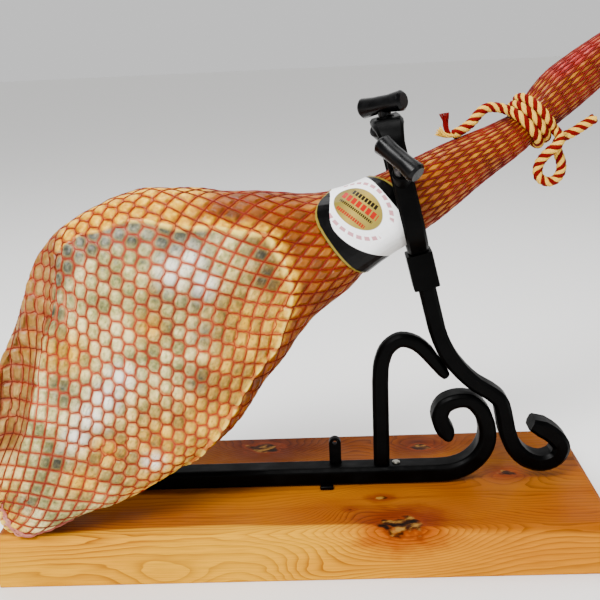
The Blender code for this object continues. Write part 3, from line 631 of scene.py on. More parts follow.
def piece_from(shape: bmesh.types.BMesh, name: str, materials: Sequence[bpy.types.Material], sharp: float = 35.0) -> bpy.types.Object:
    """Turn a bmesh into a smooth-shaded piece.

    Args:
        shape: The bmesh, which is freed.
        name: The piece's name.
        materials: Its material slots in order.
        sharp: Edges that turn by more than this many degrees stay sharp.

    Returns:
        The new object, at the origin.
    """
    mesh = bpy.data.meshes.new(name)
    shape.to_mesh(mesh)
    shape.free()
    for material in materials:
        mesh.materials.append(material)
    mesh.shade_smooth()
    mesh.set_sharp_from_angle(angle=math.radians(sharp))
    return link_object(name, mesh)


def merged_copy(node: str) -> bmesh.types.BMesh:
    """A closed copy of a CAD node's mesh, with its doubled vertices merged."""
    shape = bmesh.new()
    shape.from_mesh(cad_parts[node].data)
    bmesh.ops.remove_doubles(shape, verts=shape.verts[:], dist=0.00002)
    return shape


def baked_modifiers(piece: bpy.types.Object) -> bpy.types.Mesh:
    """A new mesh of the piece as its modifiers leave it."""
    graph = bpy.context.evaluated_depsgraph_get()
    return bpy.data.meshes.new_from_object(piece.evaluated_get(graph))


def rows_at(rows: Sequence[Sequence[float]], places: np.ndarray, knots: Optional[np.ndarray] = None) -> np.ndarray:
    """Read a smooth curve through rows of numbers.

    Args:
        rows: The curve's own points, each with any number of columns.
        places: Where to read it, in the units of the knots.
        knots: The place of each row; the distance along the rows if left out.

    Returns:
        One row for each place.
    """
    data = np.array(rows, float)
    if knots is None:
        knots = np.concatenate([[0], np.cumsum(np.linalg.norm(np.diff(data, axis=0), axis=1))])
    slopes = np.gradient(data, knots, axis=0)
    index = np.clip(np.searchsorted(knots, places, side="right") - 1, 0, len(knots) - 2)
    width = (knots[index + 1] - knots[index])[:, None]
    t = (places[:, None] - knots[index][:, None]) / width
    low, high = data[index], data[index + 1]
    low_slope, high_slope = slopes[index] * width, slopes[index + 1] * width
    return low * (2 * t**3 - 3 * t**2 + 1) + low_slope * (t**3 - 2 * t**2 + t) + high * (3 * t**2 - 2 * t**3) + high_slope * (t**3 - t**2)


def smooth_line(points: Sequence[Vector], step: float) -> np.ndarray:
    """Points a step apart along a smooth curve through the given ones."""
    data = np.array([tuple(p) for p in points], float)
    length = np.linalg.norm(np.diff(data, axis=0), axis=1).sum()
    return rows_at(data, np.linspace(0, length, max(2, round(length / step)) + 1))


def tube_mesh(name: str, lines: Sequence[np.ndarray], radii: Sequence[Any], sides: int = 1, caps: bool = True) -> bpy.types.Mesh:
    """Round tubes along lines, through a bevelled curve.

    Args:
        name: The new mesh's name.
        lines: One array of points for each tube.
        radii: One radius, or one radius for each point, for each tube.
        sides: The curve's bevel resolution: 0 is a square section, 1 has six sides, 2 has eight.
        caps: Whether the ends are closed.

    Returns:
        A mesh of all the tubes.
    """
    curve = bpy.data.curves.new(name, "CURVE")
    curve.dimensions = "3D"
    curve.bevel_depth = 1.0
    curve.bevel_resolution = sides
    curve.use_fill_caps = caps
    for line, radius in zip(lines, radii):
        spline = curve.splines.new("POLY")
        spline.points.add(len(line) - 1)
        spline.points.foreach_set("co", np.column_stack([line, np.ones(len(line))]).ravel())
        spline.points.foreach_set("radius", np.broadcast_to(radius, len(line)).astype(float))
    helper = bpy.data.objects.new(name + "_helper", curve)
    bpy.context.scene.collection.objects.link(helper)
    mesh = baked_modifiers(helper)
    bpy.data.objects.remove(helper)
    bpy.data.curves.remove(curve)
    return mesh


# ---------------------------------------------------------------- the ham's own frame


@dataclass(frozen=True)
class HamFrame:
    """Places on the ham: along its axis, across it, and behind it, in millimetres."""

    tip: Vector = Vector((-0.2615, -0.0840, 0.0477))
    axis: Vector = Vector((0.7850, 0.1661, 0.5968)).normalized()
    across: Vector = Vector((-0.6053, 0.0, 0.7960)).normalized()

    @property
    def deep(self) -> Vector:
        """The direction from the ham's front to its back."""
        return self.across.cross(self.axis).normalized()

    def place(self, along: float, across: float, deep: float) -> Vector:
        """The world position of a place given in millimetres."""
        return self.tip + (self.axis * along + self.across * across + self.deep * deep) * MM

    def read(self, points: np.ndarray) -> np.ndarray:
        """Turn world positions into rows of along, across and deep, in millimetres."""
        square = Matrix((self.axis, self.across, self.deep)).transposed().inverted()
        return (points - np.array(self.tip)) @ np.array(square).T / MM


HAM = HamFrame()


def step_between(value: np.ndarray, low: float, high: float) -> np.ndarray:
    """Smooth 0 to 1 step of an array between two values."""
    t = np.clip((value - low) / (high - low), 0, 1)
    return t * t * (3 - 2 * t)


class Ham:
    """The cured ham: its skin, its trimmed and mould-covered side, and the net stretched over it."""

    columns: int = 52
    thread_radius: float = 0.00040
    half_thread: float = 13.5
    base_levels: int = 2
    hem: tuple = (
        (44, -2, -15), (32, -1, -15), (16, 3, -15), (5, 9, -15), (1, 16, -16), (1, 27, -18), (3, 40, -22),
        (7, 54, -26), (14, 74, -30), (26, 98, -36), (46, 124, -38),
    )
    hem_strands: int = 5
    butt_ends: float = 452.0
    side_depth: float = 0.42
    edge_along: tuple = (205, 243, 278, 308, 337, 361, 363, 350, 326, 299, 273, 240, 190, 120)
    edge_across: tuple = (194, 191, 173, 147, 114, 84, 56, 33, 11, -2, -8, -17, -32, -50)
    spine: tuple = (
        (764, -1, 0), (700, 0, 0), (622, -3, -0.03), (562, 6, -0.12), (485, 18, -0.20),
        (434, 31, -0.33), (378, 56, -0.35), (330, 73, -0.30), (280, 80, -0.26), (220, 79, -0.25),
        (160, 69, -0.27), (100, 58, -0.34), (60, 53, -0.42), (25, 47, -0.50), (-7, 36, -0.55),
    )
    knot_times: tuple = (0.0, 0.07, 0.28, 0.5, 0.72, 0.93)
    # Grey mould and painted shade on the trimmed face: along, across and radius in millimetres of each dark patch, with
    # shade in its hollows.
    grey_mould_and_shade_patches: tuple = (
        (265, 175, 18), (286, 160, 18), (301, 138, 16), (351, 74, 16), (342, 56, 13), (206, 188, 16), (219, 184, 15),
        (179, 157, 14), (284, 82, 13), (266, 56, 13), (232, 25, 13), (137, 100, 13), (89, 55, 15), (31, 39, 13),
    )
    # Painted highlights on the trimmed face: along, across and radius in millimetres of each white glint on its lumps.
    painted_highlight_patches: tuple = (
        (283, 116, 14), (301, 112, 12), (297, 89, 11), (184, 74, 12), (162, 69, 13), (139, 64, 13), (116, 59, 11),
        (269, 191, 12), (336, 135, 9), (150, -7, 9),
    )
    yellow_patches: tuple = (
        (300, 32, 42), (281, -7, 30), (235, -10, 34), (166, 1, 42), (130, 27, 28), (88, 22, 24), (162, 124, 22), (236, 92, 15), (206, -29, 24),
    )

    def __init__(self) -> None:
        """Prepare an empty ham."""
        self.skin: Optional[bpy.types.Object] = None
        self.net: list[bpy.types.Object] = []
        self.surface: Optional[BVHTree] = None
        self.lattice: Optional[np.ndarray] = None
        self.knot_share: Optional[np.ndarray] = None
        self.dryness: Optional[np.ndarray] = None
        self.corners: Optional[KDTree] = None

    def smooth_base(self) -> bpy.types.Mesh:
        """The CAD ham with its facets smoothed away."""
        shape = merged_copy("ham")
        bmesh.ops.join_triangles(
            shape, faces=shape.faces[:], angle_face_threshold=math.radians(40), angle_shape_threshold=math.radians(180)
        )
        piece = piece_from(shape, "ham_base", [])
        smoothing = piece.modifiers.new("round", "SUBSURF")
        smoothing.levels = smoothing.render_levels = self.base_levels
        mesh = baked_modifiers(piece)
        bpy.data.objects.remove(piece)
        return mesh

    def fold_distance(self, along: np.ndarray, across: np.ndarray) -> np.ndarray:
        """Millimetres from the crease where the trimmed face turns to the ham's side; negative on the side."""
        return (along - (78 + (across - 87) * 1.31)) * 0.607

    def shape_body(self, mesh: bpy.types.Mesh) -> None:
        """Turn the side away behind the crease, so that the trimmed face ends in a clear edge."""
        count = len(mesh.vertices)
        points = np.zeros(count * 3)
        mesh.vertices.foreach_get("co", points)
        points = points.reshape(-1, 3)
        along, across, deep = HAM.read(points).T
        apart = self.fold_distance(along, across)
        down_fold = 0.795 * along + 0.607 * across
        width = np.interp(down_fold, [97, 136, 166, 188, 214, 243, 269], [45, 46, 37.5, 29, 22, 22, 28])
        share = np.clip(-apart / width, 0, 1)
        front = step_between(-deep, 0, 8)
        where = step_between(across, 66, 104) * step_between(214 - across, 0, 26) * front
        ahead = np.exp(-(((apart - 6) / 11) ** 2))
        shift = (self.side_depth * width * 4 * share * (1 - share) - 3.0 * ahead) * where
        points = points + np.outer(shift, np.array(HAM.deep)) * MM
        mesh.vertices.foreach_set("co", points.ravel())
        mesh.update()

    def spine_rings(self, count: int, rays: int) -> tuple[np.ndarray, np.ndarray]:
        """Cast rings of points on the surface from a spine inside the ham, evenly spaced round each ring.

        Args:
            count: The number of rings from the foot to the butt.
            rays: The number of rays cast for a ring.

        Returns:
            The points as (ring, column, xyz), and each ring's girth.
        """
        data = np.array(self.spine, float)
        steps = np.concatenate([[0], np.cumsum(np.linalg.norm(np.diff(data[:, :2], axis=0), axis=1))])
        rings = np.zeros((count, self.columns, 3))
        girth = np.zeros(count)
        for i, (along, across, slope) in enumerate(rows_at(data, np.linspace(0, steps[-1], count), steps)):
            start = HAM.place(along, across, 0)
            up = (HAM.across - HAM.axis * slope).normalized()
            loop = np.zeros((rays + 1, 3))
            for k in range(rays):
                angle = 2 * math.pi * k / rays
                way = up * math.cos(angle) + HAM.deep * math.sin(angle)
                hit = self.surface.ray_cast(start, way)[0]
                loop[k] = hit if hit else start + way * 0.002
            loop[rays] = loop[0]
            walked = np.concatenate([[0], np.cumsum(np.linalg.norm(np.diff(loop, axis=0), axis=1))])
            girth[i] = walked[-1]
            wanted = np.arange(self.columns) / self.columns * walked[-1]
            for axis in range(3):
                rings[i, :, axis] = np.interp(wanted, walked, loop[:, axis])
        return rings, girth

    def row_gap(self, width: np.ndarray) -> np.ndarray:
        """Half a cell's length, in millimetres, where the columns stand a width apart: the thread keeps its length."""
        return np.clip(np.sqrt(np.maximum(self.half_thread**2 - width**2, 1)), 6.6, 13.2)

    def net_lattice(self) -> np.ndarray:
        """Lay the net's rows over the ham, closer together where the ham is wide.

        Returns:
            Points as (row, column, xyz), two rows to a cell.
        """
        rings, girth = self.spine_rings(420, 200)
        gap = np.linalg.norm(np.diff(rings, axis=0), axis=2).mean(axis=1)
        cell = self.row_gap(girth / self.columns / MM) * MM
        phase = np.concatenate([[0], np.cumsum(gap / ((cell[1:] + cell[:-1]) / 2))])
        rows = np.arange(0, int(phase[-1]) + 1)
        lattice = np.zeros((len(rows), self.columns, 3))
        for k in range(self.columns):
            for axis in range(3):
                lattice[:, k, axis] = np.interp(rows, phase, rings[:, k, axis])
        return self.relax(lattice, 10)

    def relax(self, lattice: np.ndarray, rounds: int) -> np.ndarray:
        """Let the net settle: each knot moves towards the middle of its neighbours and stays on the ham."""
        for _ in range(rounds):
            sideways = (np.roll(lattice, 1, axis=1) + np.roll(lattice, -1, axis=1)) / 2
            middle = lattice.copy()
            middle[1:-1] = (lattice[:-2] + lattice[2:]) / 2
            moved = lattice * 0.5 + (sideways + middle) * 0.25
            moved[0], moved[-1] = lattice[0], lattice[-1]
            flat = moved.reshape(-1, 3)
            for i, point in enumerate(flat):
                flat[i] = self.surface.find_nearest(Vector(point))[0]
            lattice = flat.reshape(lattice.shape)
        return lattice

    def knot_widths(self) -> np.ndarray:
        """How far a knot is drawn out sideways, as a share of a column: more where the net is stretched wide."""
        width = np.linalg.norm(np.roll(self.lattice, -1, axis=1) - self.lattice, axis=2)
        length = np.linalg.norm(np.gradient(self.lattice, axis=0), axis=2)
        ratio = width / np.maximum(length, 1e-6)
        return 0.04 + 0.27 * step_between(ratio, 0.75, 1.5)

    def sample(self, grid: np.ndarray, column: np.ndarray, row: np.ndarray) -> np.ndarray:
        """Read a grid of values or points between its rows and columns."""
        row = np.clip(row, 0, len(grid) - 1.0001)
        low, left = row.astype(int), np.floor(column).astype(int)
        up, right = (row - low), (column - left)
        left = left % self.columns
        beside = (left + 1) % self.columns
        if grid.ndim == 3:
            up, right = up[:, None], right[:, None]
        near = grid[low, left] * (1 - right) + grid[low, beside] * right
        far = grid[low + 1, left] * (1 - right) + grid[low + 1, beside] * right
        return near * (1 - up) + far * up

    def strand_lines(self) -> list[np.ndarray]:
        """The net's threads, each swinging between two columns and meeting its neighbours at the knots."""
        rows = len(self.lattice)
        base = np.repeat(np.arange(rows - 1), len(self.knot_times))
        part = np.tile(np.array(self.knot_times), rows - 1)
        lines = []
        for j in range(self.columns):
            drawn = self.sample(self.knot_share, np.full(len(base), j + 0.5), base + part)
            times = np.array(self.knot_times)
            swing = np.zeros(len(part))
            early, late = part <= times[1], part >= times[-1]
            swing[early] = (drawn * part / times[1])[early]
            swing[late] = (1 - drawn * (1 - part) / (1 - times[-1]))[late]
            between = ~(early | late)
            swing[between] = (drawn + (1 - 2 * drawn) * (part - times[1]) / (times[-1] - times[1]))[between]
            share = np.where((j + base) % 2 == 0, swing, 1 - swing)
            lines.append(self.sample(self.lattice, j + share, base + part))
        return lines

    def net_places(self, points: np.ndarray) -> tuple[np.ndarray, np.ndarray]:
        """Find each point's column and row on the net.

        Args:
            points: World positions on the ham.

        Returns:
            The columns and the rows, with parts of one.
        """
        rows = len(self.lattice)
        flat = self.lattice.reshape(-1, 3)
        tree = KDTree(len(flat))
        for i, point in enumerate(flat):
            tree.insert(point, i)
        tree.balance()
        nearest = np.array([tree.find(p)[1] for p in points])
        row, column = (nearest // self.columns).astype(float), (nearest % self.columns).astype(float)
        for _ in range(4):
            row = np.clip(row, 0.02, rows - 1.03)
            here = self.sample(self.lattice, column, row)
            side = self.sample(self.lattice, column + 0.02, row) - here
            side /= 0.02
            ahead = (self.sample(self.lattice, column, row + 0.02) - here) / 0.02
            off = points - here
            aa, bb, ab = (side * side).sum(1), (ahead * ahead).sum(1), (side * ahead).sum(1)
            sa, sb = (side * off).sum(1), (ahead * off).sum(1)
            scale = np.maximum(aa * bb - ab * ab, 1e-14)
            column = column + np.clip((sa * bb - sb * ab) / scale, -0.7, 0.7)
            row = row + np.clip((sb * aa - sa * ab) / scale, -0.7, 0.7)
        return column, np.clip(row, 0, rows - 1)

    def cell_edge(self, column: np.ndarray, row: np.ndarray, drawn: np.ndarray) -> np.ndarray:
        """How near a place lies to its cell's threads: 0 in the cell's middle and 1 at a thread."""
        one, two = (column + row) / 2, (column - row) / 2
        one, two = one - np.floor(one) - 0.5, two - np.floor(two) - 0.5
        wide, tall = np.abs(one + two), np.abs(one - two)
        slant = (wide + (1 - 2 * drawn) * tall) / (1 - drawn)
        return (np.maximum(slant, 0) ** 4 + tall**4) ** (1 / 4)

    def masks(self, points: np.ndarray, normals: np.ndarray) -> dict[str, np.ndarray]:
        """Where the trimmed face, its fat rim, the shank's hide and bare meat lie.

        Args:
            points: World positions.
            normals: The surface's directions there.

        Returns:
            Arrays by name: inset is in millimetres inside the face's edge, the others run from 0 to 1.
        """
        along, across, deep = HAM.read(points).T
        facing = -(normals @ np.array(HAM.deep))
        edge = np.interp(-across, [-v for v in self.edge_across], self.edge_along)
        wobble = np.array([noise(Vector(p) * 24) for p in points]) * 8
        top = 200 - 0.0032 * (along - 225) ** 2 - across
        inset = np.minimum(edge - along, top) + wobble
        front = step_between(facing, 0.0, 0.4)
        inset = np.where(facing < 0.4, inset - (0.4 - facing) * 34, inset)
        inset = inset - 200 * step_between(-facing, 0.0, 0.4)
        side = step_between(-self.fold_distance(along, across), -3, 4) * step_between(across, 60, 95)
        side = side * step_between(facing, -0.2, 0.1)
        shank = step_between(along, 340, 470)
        meat = step_between(along, 655, 672) * step_between(725 - along, 0, 14) * step_between(across, 9, 15)
        meat = meat * step_between(-deep + wobble * 0.6, -2, 6)
        corner = step_between(186 - across, 0, 24)
        top_fat = step_between(across - 0.4 * (along - 300), 112, 142) * step_between(facing, -0.3, 0.1)
        fat = np.maximum(step_between(inset, -17, -6), top_fat)
        yellow = 0.95 * step_between(64 - inset, 0, 50) * step_between(104 - across, 0, 60)
        above = across - np.interp(along, self.edge_along[:4:-1], self.edge_across[:4:-1])
        yellow = np.maximum(yellow, 0.9 * step_between(76 - above, 0, 50) * step_between(along, 60, 120))
        yellow = np.maximum(yellow, self.patches(along, across, self.yellow_patches))
        # Grey mould and painted shade: along the face's top edge and in the grey patches.
        grey = step_between(36 - inset, 0, 14) * step_between(across, 96, 128) * (1 - side)
        grey = np.maximum(grey, self.patches(along, across, self.grey_mould_and_shade_patches))
        # The pale patches are painted highlights.
        pale = self.patches(along, across, self.painted_highlight_patches)
        return {
            "inset": np.clip(inset, -90, 90), "front": front, "side": side, "shank": shank,
            "meat": meat, "yellow": yellow, "grey": grey, "pale": pale, "corner": corner, "fat": fat,
        }

    def patches(self, along: np.ndarray, across: np.ndarray, places: Sequence[tuple[float, float, float]]) -> np.ndarray:
        """Soft round patches of given middles and radii, in millimetres, from 0 to 1."""
        share = np.zeros(len(along))
        for s, n, radius in places:
            reach = ((along - s) ** 2 + (across - n) ** 2) / radius**2
            share = np.maximum(share, np.exp(-reach))
        return share

    def sculpt(self, mesh: bpy.types.Mesh) -> None:
        """Give the smooth ham its lumps, its rind's lip, its fold and the pillows between the threads.

        Args:
            mesh: The subdivided ham, changed in place.
        """
        count = len(mesh.vertices)
        points = np.zeros(count * 3)
        mesh.vertices.foreach_get("co", points)
        points = points.reshape(-1, 3)
        normals = np.zeros(count * 3)
        mesh.vertex_normals.foreach_get("vector", normals)
        normals = normals.reshape(-1, 3)
        masks = self.masks(points, normals)
        column, row = self.net_places(points)
        drawn = self.sample(self.knot_share, column, row)
        cell = self.cell_edge(column, row, drawn)
        along, across, _ = HAM.read(points).T
        lumps = np.array([noise(Vector(p) * 17) + 0.5 * noise(Vector(p) * 41 + Vector((3, 1, 7))) for p in points])
        body = step_between(470 - along, 0, 120)
        lift = lumps * (0.5 + 3.2 * body)
        lip = np.exp(-(((masks["inset"] + 1.5) / 4.5) ** 2)) * masks["front"] * (0.25 + 0.75 * masks["corner"])
        lift += (2.4 * lip - 1.8 * step_between(masks["inset"], -2, 7) * masks["front"]) * body
        apart = self.fold_distance(along, across)
        crease = step_between(across, 78, 104) * masks["front"] * step_between(206 - across, 0, 14)
        lift -= 2.0 * np.exp(-((apart / 4.0) ** 2)) * crease
        bare = self.bare_share(along)
        pillow = step_between(1.0 - cell, 0.0, 0.55) * (0.45 + 0.75 * body * masks["front"])
        lift = (lift + pillow) * (1 - bare)
        points = points + normals * (lift * MM)[:, None]
        points[:, 2] = np.maximum(points[:, 2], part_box("ham")[0].z + 0.0001)
        mesh.vertices.foreach_set("co", points.ravel())
        masks["drawn"] = drawn
        for name, values in masks.items():
            mesh.attributes.new(name, "FLOAT", "POINT").data.foreach_set("value", values)
        corners = np.zeros(len(mesh.loops), int)
        mesh.loops.foreach_get("vertex_index", corners)
        starts = np.zeros(len(mesh.polygons), int)
        mesh.polygons.foreach_get("loop_start", starts)
        across_seam = column[corners]
        highest = np.maximum.reduceat(across_seam, starts)
        faces = np.zeros(len(corners), int)
        faces[starts[1:]] = 1
        highest = highest[np.cumsum(faces)]
        across_seam = np.where(highest - across_seam > self.columns / 2, across_seam + self.columns, across_seam)
        layer = mesh.uv_layers.new(name="net")
        layer.data.foreach_set("uv", np.column_stack([across_seam, row[corners]]).ravel())
        mesh.update()

    def bare_share(self, along: np.ndarray) -> np.ndarray:
        """How far a place along the ham lies under the band or the rope, from 0 to 1."""
        band = step_between(along, 404, 412) * step_between(496 - along, 0, 8)
        rope = step_between(along, 607, 612) * step_between(643 - along, 0, 5)
        return np.maximum(band, rope)

    def build(self) -> None:
        """Make the ham and its net."""
        base = self.smooth_base()
        self.shape_body(base)
        shape = bmesh.new()
        shape.from_mesh(base)
        self.surface = BVHTree.FromBMesh(shape)
        self.lattice = self.net_lattice()
        self.knot_share = self.knot_widths()
        wide = []
        for edge in shape.edges:
            along = (edge.verts[0].co + edge.verts[1].co) / 2 - HAM.tip
            if along.dot(HAM.axis) / MM < self.butt_ends:
                wide.append(edge)
        bmesh.ops.subdivide_edges(shape, edges=wide, cuts=1, use_grid_fill=True, smooth=0.0)
        shape.to_mesh(base)
        shape.free()
        base.shade_smooth()
        self.sculpt(base)
        self.skin = link_object("ham_surface", base)
        shape = bmesh.new()
        shape.from_mesh(base)
        self.surface = BVHTree.FromBMesh(shape)
        shape.free()
        self.build_net(self.strand_lines())
        self.build_hem()

    def build_net(self, strands: list[np.ndarray]) -> None:
        """Lay the threads on the finished surface and make them round."""
        laid = []
        for line in strands:
            bare = self.bare_share(HAM.read(line)[:, 0])
            out = []
            for point, hidden in zip(line, bare):
                spot, normal, _, _ = self.surface.find_nearest(Vector(point))
                out.append(spot + normal * self.thread_radius * (0.7 - 0.9 * hidden))
            laid.append(np.array([tuple(p) for p in out]))
        half = self.columns // 2
        for label, group in (("front", laid[half:]), ("back", laid[:half])):
            radii = []
            for line in group:
                along = HAM.read(line)[:, 0]
                radii.append(self.thread_radius * (1 + 0.6 * step_between(along, 300, 470)))
            mesh = tube_mesh("net_" + label, group, radii, 1)
            mesh.shade_smooth()
            self.mark_dry(mesh)
            self.net.append(link_object("net_" + label, mesh))

    def build_hem(self) -> None:
        """Gather the net's last strands in a bundle round the lower edge of the butt."""
        rows = smooth_line([Vector(row) for row in self.hem], 2.0)
        strands = []
        for k in range(self.hem_strands):
            line = []
            for i, (along, across, deep) in enumerate(rows):
                beside = (k - (self.hem_strands - 1) / 2) * 1.9 + 0.7 * math.sin(i * 0.45 + k * 1.7)
                pinch = 0.35 + 0.65 * step_between(np.array(i), 0, 9)
                spot, normal, _, _ = self.surface.find_nearest(HAM.place(along + beside * pinch, across, deep))
                line.append(tuple(spot + normal * (0.0007 + 0.0005 * math.sin(i * 0.45 + k * 2.6))))
            strands.append(np.array(line))
        share = np.linspace(0, 1, len(rows))
        radius = np.interp(share, [0, 0.06, 0.6, 1], [0.0007, 0.0012, 0.0011, 0.0004])
        mesh = tube_mesh("net_hem", strands, [radius] * len(strands), 1)
        mesh.shade_smooth()
        self.hem_piece = link_object("net_hem", mesh)

    def mark_dry(self, mesh: bpy.types.Mesh) -> None:
        """Note on the threads where they lie on the dry face and where on the oily skin."""
        if self.dryness is None:
            inset = np.zeros(len(self.skin.data.vertices))
            self.skin.data.attributes["inset"].data.foreach_get("value", inset)
            side = np.zeros(len(inset))
            self.skin.data.attributes["side"].data.foreach_get("value", side)
            self.dryness = step_between(inset, -6, 10) * (1 - side)
            self.corners = KDTree(len(inset))
            for vertex in self.skin.data.vertices:
                self.corners.insert(vertex.co, vertex.index)
            self.corners.balance()
        values = [self.dryness[self.corners.find(v.co)[1]] for v in mesh.vertices]
        mesh.attributes.new("dry", "FLOAT", "POINT").data.foreach_set("value", values)

    def dress(self) -> None:
        """Give the ham and the net their materials and tie them to the stand."""
        self.skin.data.materials.append(CuredHam().material())
        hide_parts("ham")
        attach(self.skin, Body.STAND.value)
        thread = ElasticThread().material()
        for piece in self.net:
            piece.data.materials.append(thread)
            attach(piece, Body.STAND.value)
        hem = ElasticThread("elastic_net_hem", 0.5, ("#7A2A22", "#B46A5A", "#E8C4B4"), ("#7A2A22", "#B46A5A", "#E8C4B4"))
        self.hem_piece.data.materials.append(hem.material())
        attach(self.hem_piece, Body.STAND.value)
        LOG.info("ham with %d faces and %d net pieces", len(self.skin.data.polygons), len(self.net))


class LabelBand:
    """The printed band that is wrapped round the shank over the net."""

    stand_off: float = 0.0011
    rim_step: int = 6

    def build(self) -> None:
        """Make the band from its CAD solid, smoother and clear of the net's threads."""
        shape = merged_copy("label_band")
        bmesh.ops.join_triangles(
            shape, faces=shape.faces[:], angle_face_threshold=math.radians(40), angle_shape_threshold=math.radians(180)
        )
        piece = piece_from(shape, "label_base", [])
        smoothing = piece.modifiers.new("round", "SUBSURF")
        smoothing.levels = smoothing.render_levels = 3
        smoothing.subdivision_type = "SIMPLE"
        mesh = baked_modifiers(piece)
        bpy.data.objects.remove(piece)
        count = len(mesh.vertices)
        points = np.zeros(count * 3)
        mesh.vertices.foreach_get("co", points)
        points = points.reshape(-1, 3)
        along, across, deep = HAM.read(points).T
        middle = np.interp(along, [405, 440, 490], [45.0, 29.0, 17.0])
        radial = np.outer(across - middle, np.array(HAM.across)) + np.outer(deep, np.array(HAM.deep))
        radial /= np.linalg.norm(radial, axis=1)[:, None]
        points = points + radial * self.stand_off
        mesh.vertices.foreach_set("co", points.ravel())
        corners = np.zeros(len(mesh.loops), int)
        mesh.loops.foreach_get("vertex_index", corners)
        round_it = np.degrees(np.arctan2(across - middle, deep))
        from_left, from_right = self.rim_distances(along, round_it)
        wrapped = middle + np.hypot(across - middle, deep) * np.arctan2(across - middle, -deep)
        maps = {"print": (along, across), "wrap": (along, wrapped), "rims": (from_left, from_right)}
        for name, columns in maps.items():
            layer = mesh.uv_layers.new(name=name)
            layer.data.foreach_set("uv", np.column_stack(columns)[corners].ravel())
        mesh.attributes.new("front", "FLOAT", "POINT").data.foreach_set("value", step_between(-deep, -2, 2))
        mesh.shade_smooth()
        mesh.set_sharp_from_angle(angle=math.radians(50))
        self.piece = link_object("printed_band", mesh)

    def rim_distances(self, along: np.ndarray, round_it: np.ndarray) -> tuple[np.ndarray, np.ndarray]:
        """Millimetres from the band's two rims.

        Args:
            along: Each point's place along the ham.
            round_it: The direction of each point round the ham, in degrees.

        Returns:
            The distances from the rim near the butt and from the rim near the foot.
        """
        bins = np.floor((round_it + 180) / self.rim_step).astype(int) % (360 // self.rim_step)
        count = 360 // self.rim_step
        middles = (np.arange(count) + 0.5) * self.rim_step - 180
        low = np.array([along[bins == i].min() if (bins == i).any() else np.nan for i in range(count)])
        high = np.array([along[bins == i].max() if (bins == i).any() else np.nan for i in range(count)])
        known = ~np.isnan(low)
        low = np.interp(round_it, middles[known], low[known], period=360)
        high = np.interp(round_it, middles[known], high[known], period=360)
        return along - low, high - along

    def dress(self) -> None:
        """Print the band and tie it to the stand."""
        self.piece.data.materials.append(PrintedFilm().material())
        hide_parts("label_band")
        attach(self.piece, Body.STAND.value)
        LOG.info("printed band")


